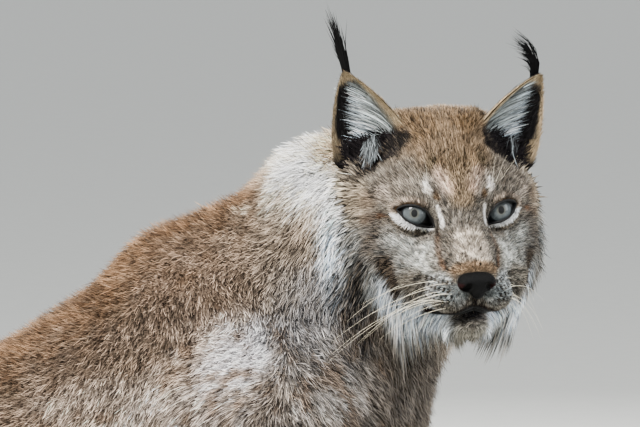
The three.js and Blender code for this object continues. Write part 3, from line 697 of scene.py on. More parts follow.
def new_object(name, points, faces, material, colours=None, uvs=None, normals=None):
    """A mesh object from points in the design's millimetres and faces of one number of corners."""
    mesh = bpy.data.meshes.new(name)
    faces = np.asarray(faces)
    sides = faces.shape[1]
    mesh.vertices.add(len(points))
    metres = ((points + FLOOR_SHIFT) * MM).astype(np.float32)
    mesh.vertices.foreach_set("co", metres.ravel())
    mesh.loops.add(faces.size)
    mesh.loops.foreach_set("vertex_index", faces.astype(np.int32).ravel())
    mesh.polygons.add(len(faces))
    mesh.polygons.foreach_set("loop_start", np.arange(0, faces.size, sides, dtype=np.int32))
    mesh.polygons.foreach_set("use_smooth", np.full(len(faces), True))
    mesh.update(calc_edges=True)
    if colours is not None:
        layer = mesh.color_attributes.new("coat", "FLOAT_COLOR", "POINT")
        rgba = np.ones((len(points), 4), np.float32)
        rgba[:, :3] = colours
        layer.data.foreach_set("color", rgba.ravel())
    if uvs is not None:
        layer = mesh.uv_layers.new(name="OFBake")
        layer.data.foreach_set("uv", uvs[faces.ravel()].astype(np.float32).ravel())
    if normals is not None:
        mesh.normals_split_custom_set_from_vertices(normals.astype(np.float32))
    mesh.materials.append(material)
    made = bpy.data.objects.new(name, mesh)
    bpy.context.scene.collection.objects.link(made)
    return made


def finish_piece(made, slot, *nodes):
    """The piece rides on the body and stands for the solids that it covers. Its slot is not used."""
    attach(made, "root")
    if nodes:
        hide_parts(*nodes)
    return made


# Colours as they look in daylight

RUFOUS = (0.65, 0.54, 0.42)
RUFOUS_DEEP = (0.54, 0.43, 0.32)
SAND = (0.62, 0.54, 0.43)
GREY_BROWN = (0.55, 0.53, 0.50)
WHITE = (0.93, 0.92, 0.91)
BLACK = (0.15, 0.14, 0.15)
RUST = (0.46, 0.33, 0.24)
CROWN_TAN = (0.58, 0.50, 0.40)
NAPE_PALE = (0.80, 0.77, 0.72)
RUFF_TAN = (0.66, 0.62, 0.56)
RUFF_GREY = (0.66, 0.67, 0.67)
BEARD_WHITE = (0.88, 0.90, 0.92)
UNDER_EYE_WHITE = (0.97, 0.96, 0.94)
UNDER_EYE_LINE = (0.50, 0.41, 0.32)
OVER_EYE_LINE = (0.42, 0.32, 0.21)
BROW_PALE = (0.82, 0.77, 0.72)
LIP_DARK = (0.17, 0.12, 0.10)
MOUTH_DARK = (0.15, 0.15, 0.18)
FLUFF_DARK = (0.20, 0.185, 0.18)
FLANK = (0.60, 0.56, 0.52)
FLANK_PALE = (0.76, 0.73, 0.70)
FLANK_BROWN = (0.54, 0.45, 0.37)
BACK_WARM = (0.64, 0.56, 0.48)
BELLY = (0.84, 0.82, 0.78)
LEG_INNER = (0.82, 0.78, 0.72)
FEET_PALE = (0.74, 0.68, 0.60)
SPOT = (0.36, 0.25, 0.17)
PALE_HAIR = (0.80, 0.76, 0.70)

# Marks on the folded head: from, to, radius at each end, softness, colour and strength
FACE_MARKS = [
    ((-50, 0, 60), (-5, 8, 58), 30, 22, 22, (0.57, 0.50, 0.41), 0.9),
    ((-30, 16, 70), (-55, 12, 74), 14, 12, 14, (0.52, 0.43, 0.31), 0.85),
    ((10, 2, 46), (16, 0, 18), 13, 10, 10, (0.64, 0.57, 0.47), 0.8),
    ((2, 12, 52), (4, 14, 44), 5, 5, 5, (0.70, 0.60, 0.46), 0.6),
    ((-1, 20, 47), (1, 20, 41), 5, 4, 4, (0.42, 0.37, 0.28), 0.75),
    ((14, 12, 27), (8, 17, 36), 7, 6, 10, (0.93, 0.86, 0.81), 0.85),
    ((-14, 38, 42), (-22, 50, 34), 9, 9, 10, (0.50, 0.48, 0.45), 0.75),
    ((-4, 42, 27), (-14, 52, 22), 12, 12, 14, (0.60, 0.57, 0.53), 0.7),
    ((-30, 70, 6), (-40, 76, 0), 12, 14, 14, (0.78, 0.73, 0.66), 0.8),
    ((-28, 66, 25), (-33, 69, 16), 7, 7, 9, (0.84, 0.80, 0.73), 0.75),
    ((-8, 60, -8), (-14, 68, -30), 9, 10, 14, (0.44, 0.42, 0.40), 0.8),
    ((-16, 64, 10), (-24, 70, 14), 7, 8, 9, (0.58, 0.51, 0.44), 0.6),
    ((-4, 54, 14), (-10, 58, 20), 5, 7, 8, (0.78, 0.74, 0.70), 0.8),
    ((0, 52, -14), (6, 42, -20), 7, 6, 13, (0.74, 0.75, 0.74), 0.8),
    ((-4, 54, -26), (6, 46, -34), 8, 9, 12, (0.52, 0.52, 0.51), 0.8),
    ((8, 38, -20), (14, 40, -34), 8, 8, 12, (0.66, 0.67, 0.66), 0.8),
    ((20, 29, -19), (24, 34, -36), 7, 8, 14, (0.84, 0.85, 0.84), 0.8),
    ((30, 28, -18), (32, 32, -30), 5, 6, 10, (0.82, 0.82, 0.80), 0.7),
    ((42, 4, -8), (50, 6, -16), 11, 11, 8, (0.79, 0.76, 0.72), 0.9),
    ((57, 0, -27), (50, 14, -30), 5, 4.5, 3.5, (0.70, 0.61, 0.50), 0.8),
    ((46, 18, -33), (54, 17, -40), 3.5, 3, 3, (0.66, 0.56, 0.45), 0.8),
    ((46, 24, -44), (30, 32, -48), 12, 12, 8, (0.73, 0.74, 0.74), 0.95),
    ((58, 12, -48), (48, 22, -48), 8, 8, 5, (0.66, 0.68, 0.68), 0.95),
    ((56, 12, -55), (38, 26, -57), 4, 4, 5, (0.70, 0.70, 0.69), 0.85),
    ((30, 33, -58), (48, 24, -60), 5, 5, 6, (0.62, 0.61, 0.59), 0.6),
    ((26, 40, -42), (14, 46, -50), 9, 9, 8, (0.53, 0.51, 0.47), 0.8),
    ((3, 25.0, 37), (8, 24.5, 22), 2.4, 3.0, 3.6, WHITE, 0.95),
    ((8, 24, 22), (13, 21, 13), 1.7, 1.5, 1.8, (0.85, 0.83, 0.80), 0.8),
    ((14.5, 18.5, 10), (21, 16.5, -3), 2.2, 2.6, 1.8, WHITE, 0.95),
    ((10, 20.5, 27), (12, 18.5, 17), 2.0, 2.6, 2.2, (0.40, 0.30, 0.20), 0.85),
    ((-10, 46, 2.5), (-8, 60, 1), 1.8, 2.6, 2.2, RUST, 0.9),
    ((-8, 60, 1), (-22, 70, -4), 2.8, 5.0, 6.0, (0.46, 0.37, 0.30), 0.65),
    ((20, 19, -11), (30, 20.5, -22), 2.4, 3.4, 4.0, (0.44, 0.34, 0.27), 0.85),
    ((30, 20.5, -23), (40, 20, -30), 3.0, 2.6, 2.6, (0.54, 0.42, 0.33), 0.8),
    ((16.5, 20, -6.5), (20, 19, -11), 1.5, 1.7, 1.4, (0.16, 0.12, 0.10), 0.95),
    ((40, 19.5, -26.5), (41, 19.5, -27.5), 1.5, 1.5, 1.0, BLACK, 0.95),
    ((44, 19.5, -30), (45, 19.5, -31), 1.2, 1.2, 1.0, BLACK, 0.9),
    ((49, 18.5, -34), (52, 17.5, -38), 1.0, 1.0, 1.0, BLACK, 0.85),
    ((40, 0, -84), (20, 12, -86), 17, 14, 8, (0.72, 0.71, 0.68), 0.9),
]
# The pale band of the ruff, and then the dark parting and hollow between it and the beard's white lobes
RUFF_MARKS = [
    ((-62, 84, 20), (-52, 90, -4), 12, 11, 8, (0.90, 0.87, 0.82), 0.95),
    ((-52, 90, -4), (-40, 88, -40), 11, 9, 8, (0.93, 0.94, 0.95), 0.95),
    ((-40, 88, -40), (-32, 84, -66), 9, 6, 7, (0.88, 0.91, 0.94), 0.9),
    # The parting and hollow: the coat's own dark streak, deepened with painted shade under the ruff's
    # overhanging tufts
    ((-19, 71, -26), (-30, 72, -62), 4, 6, 6, (0.24, 0.22, 0.21), 0.85),
    ((-32, 72, -66), (-30, 66, -90), 6, 6, 6, (0.20, 0.19, 0.19), 0.8),
    ((0, 57, -37), (8, 52, -52), 10, 9, 7, (0.24, 0.21, 0.19), 0.97),
    ((31, 40, -53), (22, 46, -60), 6, 6, 7, (0.50, 0.48, 0.45), 0.85),
    ((-8, 64, -12), (-16, 70, -22), 5, 6, 7, (0.40, 0.38, 0.36), 0.7),
]
# Rows of dark dots on the whisker pads: height at the back and at the front, half-height, and shift
PAD_ROWS = [
    (-39.0, -40.5, 1.5, 0.0),
    (-44.0, -45.5, 1.6, 1.9),
    (-49.0, -49.8, 1.5, 3.6),
    (-53.6, -53.8, 1.5, 0.9),
]
PAD_DARK = (0.13, 0.10, 0.09)
LIP_PAD_AT = np.array([42, 24, -49])


def plain(shape, tint):
    """One colour for every point."""
    return np.broadcast_to(np.array(tint), (*shape, 3)).copy()


def painted(colour, tint, weight):
    return mix(colour, np.asarray(tint, float), column(np.clip(weight, 0, 1)))


def marked(colour, q, mark):
    a, b, ra, rb, soft, tint, strength = mark
    return painted(colour, tint, strength * smoothstep(0.5 - bar(q, a, b, ra, rb) / soft))


def lip_share(q):
    """How much a point of the face belongs to the lips' short dark hair."""
    lip = q[..., 2] - mouth_height(q)
    front = past(q[..., 0], 8, 12) * short_of(np.abs(q[..., 1]), 38, 8)
    return bell(lip, 0, 5) * front


def eye_surround(colour, q):
    """Paints the white band under each eye, the lines and the pale brow round it, and the dark lids."""
    a, b, ahead = eye_plane(q)
    rim = opening_distance(a, b)
    below = smoothstep((0.7 + 0.12 * a - b) / 2.5)
    edge = 4.9 + 0.12 * a
    not_inner = past(a, -15.5, 2)
    under = past(rim, 0.8, 0.6) * smoothstep((edge - rim) / 0.8 + 0.5) * below * not_inner
    line_under = bell(rim, edge + 1.4, 0.9) * below * past(a, -9, 8)
    line_above = bell(rim, 2.3, 0.9) * (1 - below) * past(a, -10, 6)
    brow = bell(rim, 5.4, 1.6) * (1 - below) * past(a, -12, 4)
    bands = [
        (UNDER_EYE_WHITE, under),
        (UNDER_EYE_LINE, 0.32 * line_under),
        (OVER_EYE_LINE, 0.85 * line_above),
        (BROW_PALE, 0.8 * brow),
        (BLACK, short_of(rim, 1.4, 0.6)),
    ]
    in_front = past(ahead, 2, 4)
    for tint, weight in bands:
        colour = painted(colour, tint, weight * in_front)
    return colour, under


def ruff_colour(colour, q, f):
    """Paints the ruff, tan by the ear and grey further down, and the white beard."""
    ruff, along = ruff_place(q)
    in_ruff = short_of(ruff, 30, 16) * smoothstep((f[:, 1] - 30 + 24 * along) / 14)
    bearded = past(along, 0.55, 0.12)
    tint = mix(np.array(RUFF_TAN), np.array(RUFF_GREY), column(past(along, 0.08, 0.2)))
    tint = mix(tint, np.array(BEARD_WHITE), column(bearded))
    colour = mix(colour, tint, column(mix(0.8, 0.97, bearded) * in_ruff))
    for mark in RUFF_MARKS:
        colour = marked(colour, f, mark)
    return colour


def mouth_colour(colour, q, f):
    """Paints the lips, the dark middle of the mouth, the groove under the nose and the pads' dots."""
    lip = q[:, 2] - mouth_height(q)
    lips = past(lip, -4.2, 1.4) * short_of(lip, 3.0, 1.2) * short_of(f[:, 1], 34, 5)
    middle = bell(f[:, 1], 0, 10.5) * past(lip, -10.5, 5) * short_of(lip, 2, 2)
    groove = short_of(f[:, 1], 2.6, 1.4) * past(lip, -1, 2) * short_of(lip, 13, 2)
    front = past(q[:, 0], 10, 8)
    for tint, weight in ((LIP_DARK, 0.97 * lips), (MOUTH_DARK, 0.95 * middle), (BLACK, 0.9 * groove)):
        colour = painted(colour, tint, weight * front)
    on_pad = past(f[:, 1], 16, 3) * short_of(f[:, 1], 37, 3) * past(q[:, 0], 22, 5)
    for behind, ahead, half, shift in PAD_ROWS:
        row = mix(behind, ahead, np.clip((q[:, 0] - 28) / 28, 0, 1))
        wave = 0.5 + 0.5 * np.sin((f[:, 0] * 0.75 - f[:, 1] * 0.8) * 1.35 + shift)
        dots = smoothstep((half - np.abs(q[:, 2] - row)) / 0.8 + 0.5) * smoothstep(wave * 2.6 - 0.6)
        colour = painted(colour, PAD_DARK, 0.95 * dots * on_pad)
    on_bridge = past(f[:, 0], 30, 6) * short_of(f[:, 1], 18, 4)
    on_bridge = on_bridge * short_of(q[:, 2], -12, 6)
    return painted(colour, PAD_DARK, 0.9 * on_bridge * spots(q, 6, 1.15, 4))


def head_colour(q):
    """The colour of the head's coat, and the shares of dark and of pale hairs in it."""
    f = folded(q)
    colour = painted(plain(q.shape[:1], GREY_BROWN), CROWN_TAN, past(q[:, 2], 25, 35))
    colour = painted(colour, NAPE_PALE, 0.8 * short_of(q[:, 0], -50, 40))
    for mark in FACE_MARKS:
        colour = marked(colour, f, mark)
    colour, under = eye_surround(colour, q)
    colour = mouth_colour(ruff_colour(colour, q, f), q, f)
    fluff = smoothstep((6.2 - ear_hollow(q) + 2.5 * noise(q, 5, 18)) / 3)
    fluff = fluff * short_of(above_ear_foot(q), 12, 5)
    colour = painted(colour, FLUFF_DARK, 0.95 * fluff)
    by_lips = short_of(distance(f, LIP_PAD_AT), 9, 9)
    calm = np.max([under, by_lips, lip_share(q), fluff], axis=0)
    dark = (0.32 + 0.14 * noise(q, 12, 3)) * np.clip((0.95 - colour.mean(-1)) / 0.36, 0.2, 1.1)
    pale = 0.26 + 0.12 * noise(q, 15, 5)
    return colour, np.clip(dark * (1 - 0.8 * calm), 0, 1), pale * (1 - 0.7 * calm)


# Marks on the body, the same on both sides: centre, radii, colour and strength
BODY_MARKS = [
    ((66, 90, 590), (60, 90, 44), (0.72, 0.67, 0.61), 0.8),
    ((60, 60, 630), (52, 90, 34), (0.97, 0.97, 0.95), 0.97),
    ((100, 60, 640), (20, 90, 20), (0.84, 0.77, 0.66), 0.6),
    ((26, 95, 490), (34, 60, 30), (0.92, 0.92, 0.93), 0.92),
    ((2, 95, 452), (44, 60, 26), (0.86, 0.85, 0.85), 0.6),
    ((-30, 100, 505), (44, 50, 24), (0.71, 0.65, 0.59), 0.6),
    ((56, 90, 440), (26, 60, 24), (0.76, 0.74, 0.73), 0.6),
    ((84, 85, 510), (26, 60, 40), (0.68, 0.68, 0.69), 0.8),
    ((100, 90, 466), (36, 60, 34), (0.80, 0.79, 0.78), 0.8),
    ((-64, 110, 450), (60, 50, 26), (0.86, 0.83, 0.80), 0.7),
    ((-14, 90, 543), (50, 50, 24), (0.76, 0.70, 0.64), 0.8),
    ((94, 75, 604), (11, 60, 26), (0.97, 0.97, 0.96), 0.95),
    ((98, 75, 566), (8, 60, 30), (0.90, 0.93, 0.96), 0.9),
    ((102, 75, 532), (8, 60, 16), (0.62, 0.65, 0.68), 0.7),
    # Painted shadow: a dark band on the neck under the ruff's overhanging edge
    ((120, 75, 528), (14, 50, 46), (0.36, 0.355, 0.36), 0.85),
    # Painted shade: the chest is darker where the head shades it
    ((166, 70, 462), (30, 90, 56), (0.53, 0.51, 0.49), 0.7),
]


def body_colour(p, normal, share):
    """The colour of the body's coat, and the shares of dark and of pale hairs in it."""
    f = folded(p)
    streak = noise(p * np.array([1, 1, 1.6]), 34, 7)
    colour = painted(plain(p.shape[:1], FLANK), FLANK_PALE, 0.4 + 0.5 * streak)
    ragged = 0.34 * noise(p, 13, 12) + 0.22 * noise(p, 5, 13)
    facing = normal @ unit(np.array([-0.5, 0, 0.86]))
    behind = short_of(p[:, 0], 60, 34) * past(p[:, 2], 130, 60)
    behind = behind * (1 - share["legs"]) * (1 - share["head"])
    warm = smoothstep((facing + 0.25 + 0.5 * ragged) / 0.8) * behind
    colour = painted(colour, BACK_WARM, 0.7 * warm)
    calm = np.zeros(len(p))
    for centre, radii, tint, strength in BODY_MARKS:
        weight = strength * smoothstep(1.5 - (egg_share(f, centre, radii) + ragged))
        colour = painted(colour, tint, weight)
        calm = mix(calm, 1.0 if tint[0] > 0.85 else 0.0, weight)
    brown = smoothstep((noise(p, 9, 14) + 0.35 * noise(p, 4, 15)) * 2.2 - 0.55)
    colour = painted(colour, FLANK_BROWN, 0.5 * brown * short_of(p[:, 2], 540, 40))
    ridge = smoothstep((0.80 - np.abs(normal[:, 1]) + 0.35 * ragged) / 0.45) * smoothstep(facing * 5) * behind
    deeper = 0.12 + 0.4 * short_of(p[:, 0], -75, 30)
    deep = np.clip(deeper + 0.6 * noise(p, 24, 20) + 0.5 * noise(p, 8, 21), 0, 1)
    colour = painted(colour, mix(np.array(RUFOUS), np.array(RUFOUS_DEEP), column(deep)), 0.9 * ridge)
    lower = short_of(normal[:, 2], -0.25, 0.4)
    chest = past(normal[:, 0], 0.35, 0.4) * past(p[:, 2], 180, 120)
    chest = chest * short_of(p[:, 2], 430, 60)
    inner = past(-normal[:, 1] * np.sign(p[:, 1]), 0.2, 0.4) * share["legs"]
    limbs = np.clip(share["legs"] + 0.45 * short_of(p[:, 2], 420, 160), 0, 1)
    layers = [
        (BELLY, np.maximum(0.85 * lower, 0.55 * chest)),
        (LEG_INNER, 0.7 * inner),
        (SAND, 0.6 * share["legs"] * (1 - inner)),
        (FEET_PALE, 0.6 * share["feet"]),
        (SPOT, 0.75 * limbs * spots(p, 36, 9, 2) * (1 - lower)),
        (BLACK, short_of(p[:, 1], -96, 8) * share["tail"]),
    ]
    for tint, weight in layers:
        colour = painted(colour, tint, weight)
    dark = (0.34 + 0.16 * noise(p, 18, 9) - 0.06 * ridge) * (1 - 0.7 * calm)
    pale = 0.32 + 0.16 * noise(p, 22, 11) - 0.10 * ridge
    return colour, np.clip(dark, 0, 1), np.clip(pale, 0, 1)


def coat_colour(p, normal, share):
    colour, dark, pale = body_colour(p, normal, share)
    head = past(share["head"], 0.35, 0.3)
    near = head > 0
    q = to_head(p[near])
    on_head, head_dark, head_pale = head_colour(q)
    colour[near] = mix(colour[near], on_head, column(head[near]))
    dark[near] = mix(dark[near], head_dark, head[near])
    pale[near] = mix(pale[near], head_pale, head[near])
    return colour, dark, pale


# Materials

HAIR_GLOSS = 0.02


def new_material(name, roughness, gloss):
    """A material with the nodes and links of its tree, and its shader."""
    material = bpy.data.materials.new(name)
    material.use_nodes = True
    tree = material.node_tree
    shader = tree.nodes["Principled BSDF"]
    shader.inputs["Roughness"].default_value = roughness
    shader.inputs["Specular IOR Level"].default_value = gloss
    return material, tree.nodes, tree.links, shader


def add_relief(nodes, links, shader, height, strength, depth):
    """Raises the surface by a node's value, at most by a depth in metres."""
    relief = nodes.new("ShaderNodeBump")
    relief.inputs["Strength"].default_value = strength
    relief.inputs["Distance"].default_value = depth
    links.new(height, relief.inputs["Height"])
    links.new(relief.outputs["Normal"], shader.inputs["Normal"])


def markings_of(nodes):
    """The colours that are kept at the mesh's own points."""
    markings = nodes.new("ShaderNodeAttribute")
    markings.attribute_name = "coat"
    return markings.outputs["Color"]


def coat_material(name, roughness, bump, scale=420):
    """Hair that takes its colour from the markings, with a fine uneven grain."""
    material, nodes, links, shader = new_material(name, roughness, HAIR_GLOSS)
    markings = markings_of(nodes)
    grain = nodes.new("ShaderNodeTexNoise")
    grain.inputs["Scale"].default_value = scale
    grain.inputs["Detail"].default_value = 3
    place = nodes.new("ShaderNodeTexCoord")
    strength = nodes.new("ShaderNodeMapRange")
    strength.inputs["To Min"].default_value = 0.62
    strength.inputs["To Max"].default_value = 1.35
    blend = nodes.new("ShaderNodeMix")
    blend.data_type = "RGBA"
    blend.blend_type = "MULTIPLY"
    blend.inputs["Factor"].default_value = 1
    links.new(place.outputs["Object"], grain.inputs["Vector"])
    links.new(grain.outputs["Fac"], strength.inputs["Value"])
    links.new(markings, blend.inputs["A"])
    links.new(strength.outputs["Result"], blend.inputs["B"])
    links.new(blend.outputs["Result"], shader.inputs["Base Color"])
    if bump:
        add_relief(nodes, links, shader, grain.outputs["Fac"], bump, 2 * MM)
    return material


def plain_material(name, colour, roughness, scale=300, amount=0.3, bump=0.2, gloss=0.25):
    """A surface of one colour with its own fine relief and shade."""
    material, nodes, links, shader = new_material(name, roughness, gloss)
    place = nodes.new("ShaderNodeTexCoord")
    cells = nodes.new("ShaderNodeTexVoronoi")
    cells.inputs["Scale"].default_value = scale
    ramp = nodes.new("ShaderNodeValToRGB")
    for element, share in zip(ramp.color_ramp.elements, (1 - amount, 1 + amount)):
        element.color = (*(pigment(colour) * share), 1)
    links.new(place.outputs["Object"], cells.inputs["Vector"])
    links.new(cells.outputs["Distance"], ramp.inputs["Fac"])
    links.new(ramp.outputs["Color"], shader.inputs["Base Color"])
    add_relief(nodes, links, shader, cells.outputs["Distance"], bump, MM)
    return material


def eye_material():
    """The eye's own colours, drawn at its points, under a wet gloss."""
    material, nodes, links, shader = new_material("eye", 0.5, 0.05)
    shader.inputs["Coat Weight"].default_value = 0.6
    shader.inputs["Coat Roughness"].default_value = 0.02
    shader.inputs["Coat IOR"].default_value = 1.34
    links.new(markings_of(nodes), shader.inputs["Base Color"])
    return material


HAIR = coat_material("hair", 0.62, 0)
UNDERCOAT = coat_material("undercoat", 0.85, 0.7)

# The skin

FLOOR_CLEAR = 0.5
# The skin is drawn darker than its coat: painted shade deep between the tufts
SKIN_SHADE = 0.5
EAR_SKIN_SHADE = 0.6
SKIN_AXES = [
    stops(-545, 296, 7, (104, 292, 2.4)),
    stops(-206, 196, 7, (-202, 8, 2.4)),
    stops(-7, 722, 7, (474, 712, 2.4)),
]


def grounded_skin(p):
    return np.maximum(skin_field(p), FLOOR_CLEAR - p[..., 2])


def triangles_of(quads):
    """Two triangles of each face, and the face corners that they use."""
    order = np.array([[0, 1, 2], [0, 2, 3]])
    triangles = quads[:, order].reshape(-1, 3)
    corners = (np.arange(len(quads))[:, None, None] * 4 + order[None]).reshape(-1, 3)
    return triangles, corners


def unwrapped(made):
    """Unfolds the piece's own shape and gives each face corner's place on the unwrap."""
    bpy.context.view_layer.objects.active = made
    made.select_set(True)
    made.data.uv_layers.new(name="OFBake")
    bpy.ops.object.mode_set(mode="EDIT")
    bpy.ops.mesh.select_all(action="SELECT")
    bpy.ops.uv.smart_project(angle_limit=1.15, island_margin=0.002)
    bpy.ops.object.mode_set(mode="OBJECT")
    made.select_set(False)
    layer = made.data.uv_layers["OFBake"]
    found = np.zeros(len(layer.data) * 2, np.float32)
    layer.data.foreach_get("uv", found)
    return found.reshape(-1, 2)


def make_skin():
    points, normals, quads = surface(grounded_skin, SKIN_AXES)
    share = shares(body_parts(points))
    colour, _, _ = coat_colour(points, normals, share)
    made = new_object("skin", points, quads, UNDERCOAT, colours=pigment(colour) * SKIN_SHADE)
    nodes = [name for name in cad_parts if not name.startswith(("eye", "ear", "nose"))]
    finish_piece(made, "coat", *nodes)
    corner_uvs = unwrapped(made)
    triangles, corners = triangles_of(quads)
    return {"points": points, "normals": normals, "triangles": triangles, "uvs": corner_uvs[corners]}


# Tufts

# How far a tuft's corners spread over the unwrap, and how low a tuft can reach
TUFT_PATCH = 0.0015
TUFT_FLOOR = 0.15
PIECE_TRIANGLES = 190000
LIE_BACK = 0.35
# How dark a tuft is at its root: painted shade, as the coat shades its own depths
ROOT_SHADE = 0.12


def tuft_faces(count, rings):
    """Triangles of a number of tufts: the foot, the bands between the rings and the point."""
    faces = [(0, 1, 2)]
    for ring in range(rings):
        for i, j in ((0, 1), (1, 2), (2, 0)):
            a, b = 3 * ring + i, 3 * ring + j
            if ring < rings - 1:
                faces += [(a, b + 3, b), (a, a + 3, b + 3)]
            else:
                faces.append((a, 3 * rings, b))
    starts = np.arange(count)[:, None, None] * (3 * rings + 1)
    return (starts + np.array(faces)).reshape(-1, 3)


def tuft_uvs(uv, size):
    """A small patch of the unwrap for each tuft, with its point in the middle."""
    angle = np.arange(size) * 2.1
    spread = np.stack([np.cos(angle), np.sin(angle)], -1) * TUFT_PATCH
    spread[-1] = 0
    return (np.clip(uv, 2 * TUFT_PATCH, 1 - 2 * TUFT_PATCH)[:, None] + spread).reshape(-1, 2)


def tuft_mesh(tufts, rings):
    """Closed three-sided tufts: a flat section at each ring, drawn out to a point."""
    root, normal, lie = tufts["root"], tufts["normal"], tufts["lie"]
    length, width, thick = tufts["length"], tufts["width"], tufts["thick"]
    count = len(root)
    sine = np.clip(tufts["lift"], 0.02, 0.97)
    start = lie * column(np.sqrt(1 - sine**2)) + normal * column(sine)
    bend = tufts["bend"] - normal * column(sine * LIE_BACK)
    points = np.zeros((count, 3 * rings + 1, 3))
    normals = np.zeros_like(points)
    colours = np.zeros_like(points)
    origin = root - normal * column(tufts["sunk"])
    for ring in range(rings):
        t = ring / rings
        centre = origin + (start * t + bend * t * t) * column(length)
        heading = unit(start + 2 * t * bend)
        across = unit(np.cross(heading, normal))
        above = np.cross(across, heading)
        taper = (0.8 if ring == 0 else 1.0) * (1 - t) ** 0.45
        half = across * column(width * taper / 2)
        points[:, 3 * ring] = centre - half
        points[:, 3 * ring + 1] = centre + half
        points[:, 3 * ring + 2] = centre + above * column(thick * taper)
        normals[:, 3 * ring] = normal * 0.9 - across * 0.6
        normals[:, 3 * ring + 1] = normal * 0.9 + across * 0.6
        normals[:, 3 * ring + 2] = normal * 0.5 + above
        # Painted shade: each tuft is darker towards its root, by its shade value
        shade = mix(tufts["shade"], 1.0, t**1.2)
        tone = mix(tufts["colour"], tufts["tip"], t)
        colours[:, 3 * ring:3 * ring + 3] = (tone * column(shade))[:, None]
    points[:, -1] = origin + (start + bend) * column(length)
    normals[:, -1] = normal + start * 0.3
    colours[:, -1] = tufts["tip"]
    points[..., 2] = np.maximum(points[..., 2], TUFT_FLOOR)
    faces = tuft_faces(count, rings)
    uvs = tuft_uvs(tufts["uv"], 3 * rings + 1)
    return points.reshape(-1, 3), faces, colours.reshape(-1, 3), uvs, unit(normals.reshape(-1, 3))


def some_of(table, chosen):
    """The chosen rows of each named array."""
    return {key: value[chosen] for key, value in table.items()}


def add_tufts(name, tufts, rings, slot):
    """Tufts as one or more pieces, none with more than PIECE_TRIANGLES triangles."""
    most = PIECE_TRIANGLES // (6 * rings - 2)
    parts = -(-len(tufts["root"]) // most)
    for part in range(parts):
        some = some_of(tufts, slice(part * most, (part + 1) * most))
        points, faces, colours, uvs, normals = tuft_mesh(some, rings)
        label = name if parts == 1 else f"{name}_{part + 1}"
        made = new_object(label, points, faces, HAIR, colours=colours, uvs=uvs, normals=normals)
        finish_piece(made, slot)


def varied(count, amount=0.15, low=0.5, high=1.6):
    """Numbers near 1, one for each tuft."""
    return (1 + amount * RNG.standard_normal(count)).clip(low, high)


def hairs(root, normal, lie, length, width, thick, lift, colour, tip, uv,
          shade, bend=(0, 0, 0), sunk=1.0):
    """The values of each tuft, the same for all where single numbers are given."""
    count = len(root)
    full = np.ones(count)
    return {
        "root": root,
        "normal": normal,
        "lie": tangent(lie, normal),
        "uv": uv,
        "length": length * full,
        "width": width * full,
        "thick": thick * full,
        "lift": lift * full,
        "bend": np.asarray(bend, float) * np.ones((count, 1)),
        "sunk": sunk * full,
        "colour": colour * np.ones((count, 1)),
        "tip": tip * np.ones((count, 1)),
        "shade": shade * full,
    }


def scattered(skin, density):
    """Roots spread over the skin by density, with the normals and the unwrap's places there."""
    corner = skin["points"][skin["triangles"]]
    area = np.linalg.norm(np.cross(corner[:, 1] - corner[:, 0], corner[:, 2] - corner[:, 0]), axis=-1) / 2
    weight = np.cumsum(area * density)
    count = int(weight[-1])
    at = (np.arange(count) + RNG.random(count)) * weight[-1] / count
    chosen = np.minimum(np.searchsorted(weight, at), len(weight) - 1)
    u = np.sqrt(RNG.random(count))
    v = RNG.random(count)
    shares_of_corner = np.stack([1 - u, u * (1 - v), u * v], -1)[..., None]
    root = np.sum(corner[chosen] * shares_of_corner, 1)
    normal = unit(np.sum(skin["normals"][skin["triangles"]][chosen] * shares_of_corner, 1))
    uv = np.sum(skin["uvs"][chosen] * shares_of_corner, 1)
    return root, normal, uv


# How the coat grows, away from the camera and then towards it: per square millimetre, long, wide, thick
GROWTH = {
    "torso": [(0.165, 17, 1.9, 0.6), (0.58, 12.0, 1.0, 0.42)],
    "legs": [(0.22, 13, 1.6, 0.55), (0.36, 12, 1.2, 0.45)],
    "feet": [(0.46, 6.5, 1.1, 0.45), (0.55, 6.5, 1.0, 0.42)],
    "tail": [(0.24, 17, 1.7, 0.6), (0.24, 17, 1.7, 0.6)],
    "neck": [(0.17, 20, 2.0, 0.6), (0.67, 16, 0.92, 0.42)],
    "face": [(1.30, 4.6, 0.9, 0.4), (3.30, 3.6, 0.62, 0.32)],
    "crown": [(0.42, 12, 1.5, 0.5), (1.70, 7.2, 0.70, 0.36)],
    "ruff": [(0.22, 34, 2.0, 0.7), (0.52, 33, 1.15, 0.5)],
    "pad": [(2.0, 3.0, 0.7, 0.3), (3.60, 2.6, 0.55, 0.28)],
    "lid": [(2.8, 2.2, 0.55, 0.28), (4.20, 1.8, 0.46, 0.24)],
    "lip": [(2.4, 2.2, 0.6, 0.3), (2.80, 2.2, 0.52, 0.28)],
}
PAD_AT = np.array([44.0, 22.0, -49.0])
FACE_AT = np.array([10.0, 0.0, -20.0])
FACE_REACH = 90.0
TOWARDS_CAMERA = np.array([0.0, -1.0, 0.07])
NOSE_TIP = np.array([62.0, 0.0, -40.0])


def grown_for(name, seen):
    far, near = np.array(GROWTH[name])
    return mix(far, near, column(seen))


def head_growth(q, seen):
    """Density, length, width and thickness of the head's coat."""
    from_face = distance(q, FACE_MIDDLE)
    away = column(past(from_face, 28, 58))
    grown = mix(grown_for("face", seen), grown_for("crown", seen), away)
    ruff, along = ruff_place(q)
    in_ruff = short_of(ruff, 30, 20)
    longer = mix(0.72, 1.95, bell(along, 0.76, 0.14))
    even = np.ones_like(ruff)
    in_full = grown_for("ruff", seen) * np.stack([even, longer, even, longer], -1)
    grown = mix(grown, in_full, column(in_ruff))
    a, b, ahead = eye_plane(q)
    places = [
        ("pad", short_of(distance(folded(q), PAD_AT), 26, 10)),
        ("lip", np.clip(1.4 * lip_share(q), 0, 1)),
        ("lip", short_of(nose_field(q), 7, 6)),
        ("lid", short_of(opening_distance(a, b), 9, 8) * (ahead > 0)),
    ]
    for name, weight in places:
        grown = mix(grown, grown_for(name, seen), column(weight))
    return grown


